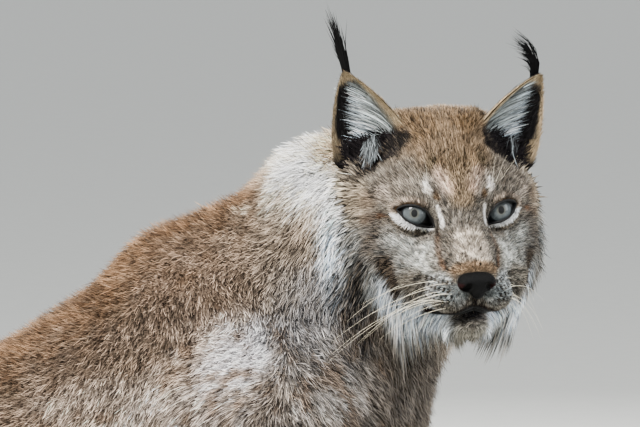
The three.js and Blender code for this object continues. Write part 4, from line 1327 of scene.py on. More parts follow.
def growth(p, normal, share):
    seen = past(normal @ TOWARDS_CAMERA, -0.25, 0.5) * past(p[:, 2], 360, 80)
    grown = sum(column(share[name]) * grown_for(name, seen) for name in DEPTH)
    neck = past(p[:, 0], 30, 60) * past(p[:, 2], 430, 80) * share["torso"]
    grown = mix(grown, grown_for("neck", seen), column(neck))
    return grown + column(share["head"]) * head_growth(to_head(p), seen)


def bare_places(p):
    """1 where hair grows, 0 in the eyes' openings, on the nose, along the lips and under the flats."""
    q = to_head(p)
    near = distance(q, FACE_AT) < FACE_REACH
    face = q[near]
    a, b, ahead = eye_plane(face)
    open_eye = (opening_distance(a, b) < 1.5) & (ahead > -2)
    nose = nose_field(face) < 0.2
    lip = np.abs(face[:, 2] - mouth_height(face) + 0.3) < 2.3
    lips = lip & (face[:, 0] > 14) & (np.abs(face[:, 1]) < 31)
    hairy = np.ones(len(p))
    hairy[near] = np.where(open_eye | nose | lips, 0, 1)
    return hairy * (p[:, 2] > 2.5)


# Where the coat turns from its bar's own way: centre, radii and the way it lies there
TURNS = [
    ((-10, 95, 520), (70, 60, 44), (0.30, 0, -0.95)),
    ((-80, 100, 480), (50, 60, 50), (0.05, 0, -1)),
    ((26, 95, 480), (40, 60, 34), (-0.90, 0, -0.30)),
    ((100, 85, 470), (40, 70, 50), (0.45, 0, -0.90)),
    ((74, 85, 560), (40, 70, 34), (-0.35, 0, -0.93)),
]


def body_lie(p):
    """The way that the coat lies: each bar of the body has its own, and near ones count most."""
    bars = [(squashed(p), one) for one in TORSO]
    bars += [(p, one) for side in SIDES.values() for one in foreleg(side) + hindleg(side)]
    bars += [(p, one) for one in TAIL]
    distances = [bar(q, a, b, ra, rb) for q, (a, b, ra, rb, _, _) in bars]
    lies = [lie for _, (_, _, _, _, _, lie) in bars]
    for centre, size in FEET:
        distances.append(foot_field(p, centre, size))
        lies.append(FOOT_LIE)
    nearest = np.min(distances, axis=0)
    total = 0
    for d, lie in zip(distances, lies):
        total = total + column(np.exp(-(d - nearest) / 18)) * unit(np.array(lie, float))
    total = unit(total)
    for centre, radii, way in TURNS:
        there = smoothstep(1.5 - egg_share(folded(p), centre, radii))
        total = mix(total, unit(np.array(way, float)), column(0.85 * there))
    outward = p * np.array([0, 0.0012, 0])
    return total + outward


def head_lie(q):
    """Away from the nose, round the eyes, and down in the ruff."""
    f = folded(q)
    lie = unit(f - NOSE_TIP)
    ruff, along = ruff_place(q)
    hang = short_of(ruff, 48, 30) * short_of(q[:, 2], 30, 40)
    fall = smoothstep(along * 1.2)
    down = np.stack([mix(-0.45, -0.12, fall), mix(0.62, 0.06, fall), np.full_like(along, -0.95)], -1)
    lie = mix(lie, down, column(0.85 * hang))
    lie = mix(lie, np.array([-0.9, 0.45, -0.1]), column(lip_share(q)))
    a, b, ahead = eye_plane(q)
    rim = opening_distance(a, b)
    axes = eye_axes(1)
    outward = column(a + 1) * axes[0] * 0.7 + column(b) * axes[1]
    near_eye = short_of(rim, 13, 10) * (ahead > -2)
    lie = mix(lie, unit(outward), column(0.75 * near_eye))
    side = np.where(q[:, 1] < 0, -1.0, 1.0)
    return lie * np.stack([np.ones_like(side), side, np.ones_like(side)], -1)


# How uneven the tufts are in length, width, height, brightness and lie
LENGTH_SPREAD = 0.16
WIDTH_SPREAD = 0.2
HEIGHT_SPREAD = 0.12
BRIGHTNESS_SPREAD = 0.46
SWAY = 0.22
# The lengths from which hair of the head and of the body is in the pieces of long hair
LONG_HAIR = 15
LONG_BODY_HAIR = 21


def coat_roots(skin):
    """Where tufts grow, with the normals and the unwrap's places there."""
    middle = skin["points"][skin["triangles"]].mean(1)
    normal = unit(skin["normals"][skin["triangles"]].mean(1))
    density = growth(middle, normal, shares(body_parts(middle)))[:, 0] * bare_places(middle)
    root, normal, uv = scattered(skin, density * (1.0))
    hairy = bare_places(root) > 0.5
    return root[hairy], normal[hairy], uv[hairy]


def coat_lie(root, normal, length, head, loose):
    """The way each tuft lies along the skin, a little ruffled, and how much it hangs clear."""
    lie = mix(body_lie(root), head_direction(head_lie(to_head(root))), column(head))
    hanging = np.sum(unit(lie) * normal, -1) * loose
    lie = tangent(lie, normal)
    fine = np.clip(length / 30, 0.25, 1)
    sway = 0.40 * noise(root, 19, 1) + 0.32 * noise(root, 7, 2) * fine
    sway = sway + SWAY * RNG.standard_normal(len(root)) * (1 - 0.5 * loose)
    return unit(lie + np.cross(normal, lie) * column(sway)), hanging


def coat_lift(root, normal, length, depth, head, cheek):
    """The sine of the angle by which each tuft rises, so that its tip reaches the coat's depth."""
    height = depth * (1 + 0.25 * noise(root, 9, 4) + HEIGHT_SPREAD * RNG.standard_normal(len(root)))
    ridge = past(normal[:, 2], 0.5, 0.4) * (1 - head)
    spring = 0.10 + 0.16 * (1 - head) + 0.16 * ridge + 0.08 * cheek
    lift = height / ((1 - LIE_BACK) * length) + spring * np.abs(RNG.standard_normal(len(root)))
    return lift + 0.08 * cheek


def coat_tints(root, normal, lie, length, depth, share, head, loose):
    """Each tuft's colour near its root and at its tip: its own shade, and some are dark and some pale."""
    count = len(root)
    is_long = length > LONG_HAIR
    seen = root + lie * column(np.where(is_long, 0.15, 0.55) * length) + normal * column(0.5 * depth)
    colour, dark, pale = coat_colour(seen, normal, share)
    outer = root[is_long] + (lie * column(0.8 * length) + normal * column(depth))[is_long]
    outer_colour, _, _ = coat_colour(outer, normal[is_long], some_of(share, is_long))
    clump = 1.5 * noise(root, 1.7, 16) * head + 1.6 * noise(root, 3.0, 17) * (1 - head)
    clump = (clump + 0.5 * noise(root, 6, 6)) * (1 - 0.5 * loose)
    shade = np.exp(BRIGHTNESS_SPREAD * RNG.standard_normal(count) + clump - 0.02)
    shade = column(np.clip(shade, 0.22, 2.3))
    tip = pigment(colour) * 1.25
    tip[is_long] = pigment(outer_colour) * 1.1
    colour = np.minimum(pigment(colour) * shade, 0.9)
    tip = np.minimum(tip * shade, 0.92)
    kind = RNG.random(count)
    is_dark = kind < dark
    is_pale = kind > 1 - pale
    darker = column(mix(0.14, 0.5, RNG.random(is_dark.sum())))
    colour[is_dark] *= darker
    tip[is_dark] *= darker * 0.7
    pale_hair = pigment(PALE_HAIR)
    colour[is_pale] = np.minimum(mix(colour[is_pale] * 1.9, pale_hair, 0.25), 0.8)
    tip[is_pale] = np.minimum(mix(tip[is_pale] * 1.7, pale_hair, 0.25), 0.9)
    return colour, tip


def make_coat(skin):
    """The whole coat over the skin, in tufts that follow its lie."""
    root, normal, uv = coat_roots(skin)
    count = len(root)
    parts = body_parts(root)
    share = shares(parts)
    depth = coat_depth(root, parts)
    _, length, width, thick = growth(root, normal, share).T
    length = length * varied(count, LENGTH_SPREAD, 0.6, 1.4)
    head = past(share["head"], 0.3, 0.4)
    ruff, along = ruff_place(to_head(root))
    loose = short_of(ruff, 38, 20) * past(along, 0.25, 0.2) * head
    cheek = short_of(ruff, 32, 18) * short_of(along, 0.55, 0.25) * head
    lie, hanging = coat_lie(root, normal, length, head, loose)
    lift = np.maximum(coat_lift(root, normal, length, depth, head, cheek), 0.9 * hanging)
    colour, tip = coat_tints(root, normal, lie, length, depth, share, head, loose)
    width = width * varied(count, WIDTH_SPREAD)
    tufts = hairs(root, normal, lie, length, width, thick, lift, colour, tip, uv,
                  ROOT_SHADE, bend=(0, 0, -0.06), sunk=0.06 * length)
    order = RNG.permutation(count)
    on_head = head >= 0.5
    groups = [
        ("coat_head", on_head & (length < LONG_HAIR), 1, "head_coat"),
        ("coat_body", ~on_head & (length < LONG_BODY_HAIR), 1, "coat"),
        ("coat_long", ~on_head & (length >= LONG_BODY_HAIR), 2, "coat"),
        ("coat_ruff", on_head & (length >= LONG_HAIR), 2, "head_coat"),
    ]
    for name, chosen, rings, slot in groups:
        add_tufts(name, some_of(tufts, order[chosen[order]]), rings, slot)


# The ears

EAR_ROWS = 44
EAR_COLUMNS = 36


def ear_width(rise):
    """Half the cup's width, by the share of its height."""
    return EAR_HALF_WIDTH * (1 - rise**1.5) ** 0.85 + 1.6


def ear_points(side, h, v, forward):
    """Points of the cup: h up it, v round it from -1 to 1, and forward from its back, in the design."""
    base, up, front, across = ear_frame(side)
    rise = np.clip(h / EAR_HEIGHT, 0, 1)
    below = np.where(h < 0, 1 + 0.25 * h / EAR_ROOT, 1)
    w = EAR_HALF_WIDTH * (1 - rise**1.5) ** 0.85 * below + 1.6
    curl = np.radians(EAR_CURL)
    angle = curl * v
    back = EAR_DEPTH * (w / EAR_HALF_WIDTH) * (np.cos(angle) - np.cos(curl)) / (1 - np.cos(curl))
    p = base + column(h) * up + column(w * np.sin(angle) / np.sin(curl)) * across
    return from_head(p + column(forward - back) * front)


def ear_thickness(h, v):
    rise = np.clip(h / EAR_HEIGHT, 0, 1)
    return EAR_THICK * (1 - 0.6 * rise) * (1 - 0.55 * np.abs(v) ** 3)


def ear_normals(side, h, v, forward, sign):
    """Which way one sheet of the cup faces: sign 1 for the inner side and -1 for the back."""
    along_h = ear_points(side, h + 0.4, v, forward) - ear_points(side, h - 0.4, v, forward)
    along_v = ear_points(side, h, v + 0.01, forward) - ear_points(side, h, v - 0.01, forward)
    normal = unit(np.cross(along_h, along_v))
    front = head_direction(ear_frame(side)[2])
    facing = np.sign(normal @ front)
    return normal * column(np.where(facing == 0, 1, facing)) * sign


EAR_RIM = (0.74, 0.69, 0.60)
EAR_BACK = (0.30, 0.27, 0.25)
EAR_PATCH = (0.74, 0.71, 0.66)
EAR_INSIDE = (0.26, 0.25, 0.25)
EAR_GREY = (0.72, 0.73, 0.71)
EAR_FOOT = (0.16, 0.15, 0.15)
EAR_FLUFF = (0.20, 0.185, 0.19)
EAR_WHITE = np.array([0.96, 0.985, 1.0])
EAR_WISP = np.array([0.97, 0.99, 1.0])
# How many tufts grow in each ear
EAR_SHORT_TUFTS = 9000
EAR_WHITE_TUFTS = 1500
EAR_FLUFF_TUFTS = 850
EAR_WISPS = {-1: 260, 1: 16}
EAR_BRUSH_TUFTS = 135


def ear_rim(h, v, medial):
    """1 on the sandy rim, which is wider on the side nearer the middle and takes in the whole tip."""
    edge = np.where(v * medial > 0, 0.50, mix(0.60, 0.80, past(h, 8, 10)))
    rim = smoothstep((np.abs(v) - edge + 0.05) / mix(0.12, 0.26, smoothstep(v * medial / 0.1)))
    return np.maximum(rim, past(h / EAR_HEIGHT, 0.82, 0.06))


def ear_colour(h, v, inner, medial):
    """The back is dark with a pale patch, the rims are sandy, and the cup is darkest at its foot."""
    rise = h / EAR_HEIGHT
    back = plain(h.shape, EAR_BACK)
    patch = smoothstep(1.6 - np.hypot((rise - 0.42) / 0.26, v / 0.42))
    back = painted(back, EAR_PATCH, 0.85 * patch)
    back = painted(back, EAR_RIM, short_of(rise, 0.30, 0.2))
    back = painted(back, EAR_RIM, past(np.abs(v), 0.84, 0.08))
    inside = plain(h.shape, EAR_INSIDE)
    inside = painted(inside, EAR_GREY, 0.8 * past(v * medial, 0.15, 0.4))
    inside = painted(inside, EAR_FOOT, short_of(h, 14, 10))
    inside = painted(inside, EAR_RIM, ear_rim(h, v, medial) * past(h, -4, 8))
    colour = np.where(column(inner), inside, back)
    return painted(colour, BLACK, past(rise, 0.985, 0.01))


def make_ear_skin(name, side):
    h, v = np.meshgrid(
        np.linspace(-EAR_ROOT, EAR_HEIGHT, EAR_ROWS), np.linspace(-1, 1, EAR_COLUMNS), indexing="ij"
    )
    thick = ear_thickness(h, v)
    sheets = [ear_points(side, h, v, 0.0 * h), ear_points(side, h, v, thick)]
    points = np.concatenate([sheet.reshape(-1, 3) for sheet in sheets])
    size = EAR_ROWS * EAR_COLUMNS
    grid = np.arange(size).reshape(EAR_ROWS, EAR_COLUMNS)
    quad = np.stack([grid[:-1, :-1], grid[:-1, 1:], grid[1:, 1:], grid[1:, :-1]], -1).reshape(-1, 4)
    faces = [quad, quad[:, ::-1] + size]
    ring = np.concatenate([grid[0, :-1], grid[:-1, -1], grid[-1, :0:-1], grid[:0:-1, 0]])
    following = np.roll(ring, -1)
    faces.append(np.stack([ring, ring + size, following + size, following], -1))
    faces = np.concatenate(faces)
    if enclosed(points, faces) < 0:
        faces = faces[:, ::-1]
    medial = ear_medial(side)
    inner = np.concatenate([np.zeros(size, bool), np.ones(size, bool)])
    colour = ear_colour(np.tile(h.ravel(), 2), np.tile(v.ravel(), 2), inner, medial)
    made = new_object("ear_skin_" + name, points, faces, UNDERCOAT, colours=pigment(colour) * EAR_SKIN_SHADE)
    return finish_piece(made, "ear_coat", "ear_" + name)


def enclosed(points, faces):
    """The volume that the faces enclose, less than 0 if they face inwards."""
    corners = [points[faces[:, n]] for n in range(faces.shape[1])]
    total = 0
    for n in range(1, len(corners) - 1):
        total = total + np.sum(np.cross(corners[0], corners[n]) * corners[n + 1])
    return total


def ear_uv(h, v, inner):
    """The cup's own unwrap: its back beside its inner side."""
    across = 0.02 + 0.46 * (v + 1) / 2 + 0.5 * inner
    return np.stack([across, 0.02 + 0.96 * (h + EAR_ROOT) / (EAR_HEIGHT + EAR_ROOT)], -1)


def ear_short_hair(side):
    """Short hair over the back and the rims, and thinly inside."""
    _, up, _, across = ear_frame(side)
    medial = ear_medial(side)
    count = EAR_SHORT_TUFTS
    h = RNG.uniform(-6, EAR_HEIGHT - 0.5, count)
    v = np.clip(RNG.uniform(-1.04, 1.04, count), -1, 1)
    inner = RNG.random(count) < 0.58
    keep = ~inner | (ear_rim(h, v, medial) > 0.4) | (RNG.random(count) < 0.4)
    keep &= inner | (RNG.random(count) < 0.8)
    h, v, inner = h[keep], v[keep], inner[keep]
    count = len(h)
    at = np.where(inner, ear_thickness(h, v), 0)
    root = ear_points(side, h, v, at)
    normal = ear_normals(side, h, v, at, 1) * column(np.where(inner, 1.0, -1.0))
    lie = head_direction(up) + column(v * 0.35) * head_direction(across)
    lie = lie + 0.16 * RNG.standard_normal((count, 3))
    colour = pigment(ear_colour(h, v, inner, medial)) * column(np.exp(0.5 * RNG.standard_normal(count)))
    colour = np.minimum(colour, 0.8)
    length = mix(8.0, 5.0, np.clip(h / EAR_HEIGHT, 0, 1)) * varied(count)
    return hairs(root, normal, lie, length=length, width=0.75 * varied(count), thick=0.4, lift=0.30,
                 colour=colour, tip=colour * 1.25, uv=ear_uv(h, v, inner), shade=0.35, sunk=0.4)


def in_cup(side, root, lie, **look):
    """Hair that grows forward out of the cup, with its lie in the head's frame."""
    forward = np.broadcast_to(head_direction(ear_frame(side)[2]), root.shape)
    return hairs(root, forward, head_direction(lie), **look)


def ear_white_hair(side):
    """White and grey hair that grows from the half nearer the middle and bends across the cup."""
    _, up, front, _ = ear_frame(side)
    lateral = np.array([0, side, 0])
    count = EAR_WHITE_TUFTS
    h = EAR_HEIGHT * 0.84 * RNG.random(count) ** 1.25 - 5
    rise = np.clip(h / EAR_HEIGHT, 0, 1)
    out = RNG.uniform(-0.36, 0.54, count)
    v = ear_medial(side) * out
    root = ear_points(side, h, v, ear_thickness(h, v) - 0.4)
    lie = lateral * column(0.36 - 0.2 * out) + up + 0.14 * RNG.standard_normal((count, 3))
    length = 0.62 * ear_width(rise) * (1 + out) * varied(count, 0.2) + 2
    grey = mix(0.35, 1.0, RNG.random(count) ** 0.7)
    tint = painted(column(grey) * EAR_WHITE, EAR_GREY, 0.6 * past(out, 0.36, 0.2))
    tint = np.minimum(pigment(tint) * column(np.exp(1.0 * noise(root, 3, 19))), 0.85)
    bend = lateral * 0.46 - column(mix(0.24, 0.10, rise)) * up + front * 0.05
    return in_cup(side, root, lie, length=length, width=0.72 * varied(count, 0.25), thick=0.5,
                  lift=0.05 + 0.16 * RNG.random(count), colour=tint, tip=tint * 1.15,
                  uv=ear_uv(h, v, True), shade=0.35, bend=head_direction(bend))


def ear_fluff(side):
    """Black fluff that fills the cup's foot."""
    up = ear_frame(side)[1]
    count = EAR_FLUFF_TUFTS
    across_at = RNG.uniform(-0.62, 0.74, count)
    h = RNG.uniform(-14, 9, count) - 9 * past(across_at, 0.3, 0.3)
    v = ear_medial(side) * across_at
    root = ear_points(side, h, v, ear_thickness(h, v) + RNG.uniform(0, 9, count))
    lie = up * 0.5 + np.array([0, side * 0.5, 0]) + 0.35 * RNG.standard_normal((count, 3))
    tint = pigment(EAR_FLUFF) * column(varied(count, 0.4))
    return in_cup(side, root, lie, length=11.0 * varied(count, 0.2), width=0.95, thick=0.5,
                  lift=0.15 + 0.2 * RNG.random(count), colour=tint, tip=tint * 1.6,
                  uv=ear_uv(h, v, True), shade=0.8)


def ear_wisps(side):
    """Pale wisps that hang over the black from the side nearer the middle."""
    base, up, front, across = ear_frame(side)
    medial = ear_medial(side)
    lateral = np.array([0, side, 0])
    count = EAR_WISPS[side]
    across_at = RNG.uniform(-4, 7, count)
    place = [across_at, 10 + 2 * RNG.random(count), 3 + 0.3 * across_at + 9 * RNG.random(count)]
    root = from_head(base + np.stack(place, -1) @ np.array([across * medial, front, up]))
    lie = -0.9 * up + 0.15 * lateral + 0.20 * RNG.standard_normal((count, 3))
    tint = pigment(column(mix(0.30, 0.90, RNG.random(count))) * EAR_WISP)
    uv = ear_uv(np.full(count, -4.0), np.full(count, medial * 0.5), True)
    return in_cup(side, root, lie, length=10.0 * varied(count, 0.35), width=0.5, thick=0.35,
                  lift=0.05 + 0.2 * RNG.random(count), colour=tint, tip=tint * 1.1,
                  uv=uv, shade=0.3, bend=head_direction(0.2 * lateral))


def ear_brush(side):
    """The black brush at the tip."""
    _, up, _, across = ear_frame(side)
    count = EAR_BRUSH_TUFTS
    s = RNG.uniform(-1, 1, count)
    h = EAR_HEIGHT - 1.0 - 5 * RNG.random(count)
    root = ear_points(side, h, 0.35 * s, 1 + 0.5 * RNG.standard_normal(count))
    spread = column(-0.015 * s) * across + 0.042 * RNG.standard_normal((count, 3))
    lie = unit(up + np.array(TUFT_LEAN[side])) + spread
    length = (TUFT_LENGTH + 4) * varied(count, 0.15, 0.35, 1.1) * (1 - 0.5 * RNG.random(count) ** 1.5)
    bend = unit(np.array(TUFT_BEND[side], float)) * TUFT_CURVE[side]
    bend = head_direction(bend) + 0.06 * RNG.standard_normal((count, 3))
    return in_cup(side, root, lie, length=length, width=0.75 * varied(count, 0.2), thick=0.6,
                  lift=0.02, colour=pigment(BLACK), tip=pigment(BLACK) * 1.3,
                  uv=ear_uv(h, 0.35 * s, True), shade=1.0, bend=bend)


def make_ear_coat(name, side):
    """The ear's short coat as one piece, and all its longer hair as another."""
    add_tufts("ear_short_" + name, ear_short_hair(side), 1, "ear_coat")
    groups = [grow(side) for grow in (ear_white_hair, ear_fluff, ear_wisps, ear_brush)]
    merged = {key: np.concatenate([group[key] for group in groups]) for key in groups[0]}
    add_tufts("ear_long_" + name, merged, 3, "ear_coat")


# The eyes and their lids

def ring_faces(grid):
    """Four-sided faces between the rows of a grid whose rows close into rings."""
    following = np.roll(grid, -1, axis=1)
    return np.stack([grid[:-1], grid[1:], following[1:], following[:-1]], -1).reshape(-1, 4)


def eye_to_design(side, local, turn=EYE_TURN, lift=EYE_LIFT):
    """Points of the eye's frame as points of the design."""
    return from_head(local @ eye_axes(side, turn, lift) + eye_centre(side))


IRIS_PALE = (0.56, 0.585, 0.59)
IRIS_DEEP = (0.29, 0.315, 0.33)
IRIS_INNER = (0.50, 0.47, 0.38)
IRIS_RING = (0.10, 0.12, 0.14)
EYE_DARK = (0.05, 0.035, 0.03)
PUPIL = (0.0, 0.0, 0.0)
# Rings from the middle of the eye to its back, finer over the iris, and steps round each
EYE_RINGS = np.concatenate([np.linspace(0.008, 0.64, 74), np.linspace(0.66, np.pi - 0.06, 34)])
EYE_TURNS = 168


def make_eye(name, side, material):
    """A ball with the cornea's swelling in front, its iris drawn in fine rays."""
    around = np.arange(EYE_TURNS) / EYE_TURNS * 2 * np.pi
    theta, phi = np.meshgrid(EYE_RINGS, around, indexing="ij")
    theta = np.concatenate([theta.ravel(), [0, np.pi]])
    phi = np.concatenate([phi.ravel(), [0, 0]])
    off = np.sin(theta) * EYE_R
    rise = CORNEA_RISE * short_of(off, IRIS_R + 1.0, 6.5) * (theta < 1)
    r = EYE_R - 0.1 + rise
    x, y = r * np.sin(theta) * np.cos(phi), r * np.sin(theta) * np.sin(phi)
    points = eye_to_design(side, np.stack([x, y, r * np.cos(theta)], -1), *GAZE[side])
    grid = np.arange(len(points) - 2).reshape(-1, EYE_TURNS)
    following = np.roll(grid, -1, axis=1)
    front = np.stack([np.full(EYE_TURNS, grid.size), grid[0], following[0]], -1)
    back = np.stack([np.full(EYE_TURNS, grid.size + 1), following[-1], grid[-1]], -1)
    faces = np.concatenate([triangles_of(ring_faces(grid))[0], front, back])
    if enclosed(points, faces) < 0:
        faces = faces[:, ::-1]
    ray = 0.5 + 0.5 * np.sin(phi * 61 + 2 * np.sin(phi * 7)) * np.sin(phi * 23 + 1.3)
    cloud = 0.5 + 0.5 * noise(np.stack([x, y, 0 * x], -1), 2.2, 8)
    colour = mix(np.array(IRIS_DEEP), np.array(IRIS_PALE), column(0.25 + 0.45 * ray + 0.3 * cloud))
    colour = painted(colour, IRIS_INNER, 0.35 * short_of(off, PUPIL_R + 1.6, 1.4))
    colour = painted(colour, IRIS_RING, 0.92 * smoothstep((off - IRIS_R + 1.5) / 1.3))
    colour = painted(colour, EYE_DARK, smoothstep((off - IRIS_R - 0.1) / 0.6))
    upper_shadow = past(y, 0.5, 5.5)
    colour = colour * column(1 - 0.5 * upper_shadow)
    oval = np.hypot(x / 0.9, y / 1.12)
    colour = painted(colour, PUPIL, smoothstep((PUPIL_R - oval) / 0.35 + 0.5))
    made = new_object("eyeball_" + name, points, faces, material, colours=pigment(colour))
    return finish_piece(made, "eyes", "eye_" + name)


def skin_height(side, a, b):
    """How far ahead the skin is at a point of the eye's plane, without the opening."""
    ahead = np.full(a.shape, 26.0)
    for _ in range(26):
        p = eye_to_design(side, np.stack([a, b, ahead], -1))
        ball = np.sqrt(a * a + b * b + ahead * ahead)
        ahead = ahead - np.clip(over_eyeball(uncut_skin(p), ball), -1.0, 3.0) * 0.8
    return ahead


LID_COLOUR = (0.07, 0.055, 0.05)
# Each row round the opening: how far outside its edge, and how far above the ball or the skin
LID_ROWS = [(-3.2, -2.2), (-1.4, -0.9), (-0.35, 0.15), (0.0, 0.6), (0.4, 0.7), (0.9, 0.3), (1.5, -0.6)]


def make_lids(name, side, material):
    """The dark edge of both lids: a rolled strip round the opening, sunk into the skin outside."""
    outline = np.vstack([UPPER_LID[:-1], LOWER_LID[:-1]])
    ahead = np.roll(outline, -1, axis=0) - np.roll(outline, 1, axis=0)
    outward = unit(np.stack([-ahead[:, 1], ahead[:, 0]], -1))
    middle = outline.mean(0)
    if np.sum(outward * (outline - middle)) < 0:
        outward = -outward
    rows = []
    for off, rise in LID_ROWS:
        at = outline + outward * off
        a, b = at[:, 0], at[:, 1]
        skin = skin_height(side, a, b)
        ball = np.sqrt(np.maximum((EYE_R + 0.1) ** 2 - a * a - b * b, 1.0))
        height = skin + rise
        if off < 0:
            height = np.maximum(np.minimum(ball, skin) + rise * 0.6, skin - 4.5 + off)
        if off < -0.5:
            height = np.minimum(height, ball - 0.3)
        rows.append(np.stack([a, b, height], -1))
    points = eye_to_design(side, np.concatenate(rows))
    count = len(outline)
    grid = np.arange(len(points)).reshape(len(rows), count)
    look = head_direction(eye_axes(side)[2])
    points = np.concatenate([points, points[grid[-1]] - look * 2.5, points[grid[0]] - look * 1.5])
    outer_ring = np.arange(count) + grid.size
    closing = np.stack([grid[-1], outer_ring, outer_ring + count, grid[0]])
    quads = np.concatenate([ring_faces(grid), ring_faces(closing)])
    if enclosed(points, quads) < 0:
        quads = quads[:, ::-1]
    made = new_object("lids_" + name, points, quads, material)
    return finish_piece(made, "black_fur")


# The nose, lips and whiskers

def nose_in_design(p):
    return nose_field(to_head(p))


NOSE_SPAN = np.array([[44, 74], [-22, 22], [-64, -28]])
NOSE_DARK = (0.10, 0.085, 0.08)
NOSE_WARM = (0.24, 0.15, 0.13)


def make_nose():
    """The nose's leather, with warmer wings."""
    corners = from_head(np.stack(np.meshgrid(*NOSE_SPAN), -1).reshape(-1, 3))
    axes = [stops(corners[:, n].min() - 1, corners[:, n].max() + 1, 0.8) for n in range(3)]
    points, _, quads = surface(nose_in_design, axes)
    q = folded(to_head(points))
    wing = past(q[:, 1], 8, 4) * short_of(q[:, 2], -37, 3)
    colour = painted(plain(q.shape[:1], NOSE_DARK), NOSE_WARM, wing)
    leather = coat_material("nose_leather", 0.42, 0.5, 1100)
    made = new_object("nose_pad", points, quads, leather, colours=pigment(colour))
    return finish_piece(made, "nose_leather", "nose")


def front_of_face(y, z, field):
    """The surface's points straight ahead of given places on the head's middle plane."""
    x = np.full(y.shape, 84.0)
    for _ in range(60):
        q = np.stack([x, y, z], -1)
        x = x - np.clip(field(from_head(q)), -1, 4) * 0.7
    return np.stack([x, y, z], -1)


def tube(path, radii, sides):
    """A closed tube along a path, with a radius at each point."""
    heading = unit(np.gradient(path, axis=0))
    up = unit(np.cross(heading, np.array([0.13, 0.31, 0.94])))
    across = np.cross(heading, up)
    angles = np.arange(sides) / sides * 2 * np.pi
    ring = np.cos(angles)[None, :, None] * up[:, None] + np.sin(angles)[None, :, None] * across[:, None]
    points = (path[:, None] + ring * np.asarray(radii)[:, None, None]).reshape(-1, 3)
    grid = np.arange(len(points)).reshape(len(path), sides)
    faces = ring_faces(grid)[:, [0, 3, 2, 1]]
    caps = [(grid[0, 0], grid[0, n + 1], grid[0, n]) for n in range(1, sides - 1)]
    caps += [(grid[-1, 0], grid[-1, n], grid[-1, n + 1]) for n in range(1, sides - 1)]
    return points, np.concatenate([triangles_of(faces)[0], np.array(caps)])


def joined(parts):
    """Several point and face arrays as one."""
    points, faces, start = [], [], 0
    for some, triangles in parts:
        points.append(some)
        faces.append(triangles + start)
        start += len(some)
    return np.concatenate(points), np.concatenate(faces)


# The upper and the lower lip: how far from the mouth's line, and the lip's radius
LIPS = [(1.0, 1.5), (-1.2, 1.9)]
LIPS_REACH = 31
LIP_COLOUR = (0.11, 0.08, 0.075)


def make_lips():
    """The dark edge of both lips along the line of the mouth."""
    y = np.linspace(-LIPS_REACH, LIPS_REACH, 2 * LIPS_REACH + 1)
    parts = []
    for above, radius in LIPS:
        z = mouth_height(np.stack([0 * y, y], -1)) + above
        path = front_of_face(y, z, skin_field)
        path[:, 0] += 0.5
        radii = radius * np.clip(1.3 - np.abs(y) / LIPS_REACH, 0.2, 1) ** 0.5
        parts.append(tube(from_head(path), radii, 8))
    points, faces = joined(parts)
    leather = plain_material("lips", LIP_COLOUR, 0.6, 700, 0.4, 0.4, 0.12)
    return finish_piece(new_object("lips", points, faces, leather), "nose_leather")


# Each row on a pad: how far aside and how high its hindmost whisker is, and how many there are
WHISKER_ROWS = [(30, -40, 3), (29, -46, 4), (28, -52, 4), (28, -57, 2)]
WHISKER_WHITE = (0.92, 0.91, 0.88)
# How far back the whiskers of each side point
WHISKER_BACK = {-1: -0.40, 1: -1.1}
WHISKER_RADIUS = 0.125
BROW_HAIR_RADIUS = 0.08


def whisker(start, length, way, sag, radius, thinned, steps):
    """One thin bent tube, in the head's frame, that gets thinner by the given share."""
    t = column(np.linspace(0, 1, steps))
    path = start + length * (way * t + sag * t * t)
    return tube(from_head(path), radius * (1 - np.linspace(0, thinned, steps)), 4)


def pad_whiskers(side):
    """Long whiskers in rows, the shorter ones nearer the nose."""
    found = []
    for aside, height, count in WHISKER_ROWS:
        for n in range(count):
            along = n / max(count - 1, 1)
            y = np.array([side * (aside - 11 * along)])
            z = np.array([height - 0.5 * n])
            start = front_of_face(y, z, skin_field)[0]
            swing = RNG.uniform(-0.16, 0.16)
            rise = -0.12 + 0.12 * RNG.standard_normal()
            way = unit(np.array([WHISKER_BACK[side] + swing, side * 0.9, rise]))
            length = (62 - 22 * along) * RNG.uniform(0.85, 1.35)
            sag = np.array([-0.22, 0, -0.42 + 0.1 * RNG.standard_normal()])
            found.append(whisker(start, length, way, sag, WHISKER_RADIUS, 0.8, 11))
    return found


def brow_hairs(side):
    """A few fine stiff hairs over the eye."""
    found = []
    for n in range(3):
        start = np.array([3 * n, side * (31 - 3 * n), 21 + 0.6 * n])
        way = unit(np.array([0.45, side * (0.35 - 0.2 * n), 0.8]))
        sag = np.array([-0.35, side * 0.12, -0.1])
        found.append(whisker(start, RNG.uniform(22, 32), way, sag, BROW_HAIR_RADIUS, 0.85, 9))
    return found


def make_whiskers():
    """Long white whiskers on each pad, and a few fine hairs over each eye."""
    hairs_of_sides = [pad_whiskers(side) + brow_hairs(side) for side in SIDES.values()]
    points, faces = joined(sum(hairs_of_sides, []))
    white = plain_material("whisker", WHISKER_WHITE, 0.4, 60, 0.05, 0.0)
    return finish_piece(new_object("whiskers", points, faces, white), "white_coat")


# The stage: floor, camera and light

CAMERA_AIM = np.array([92.0, -60.0, 594.0])
CAMERA_AWAY = 4000.0
CAMERA_RISE = 4.0
MM_PER_PIXEL = 0.74
PHOTO_SIZE = (640, 427)
SENSOR = 36.0
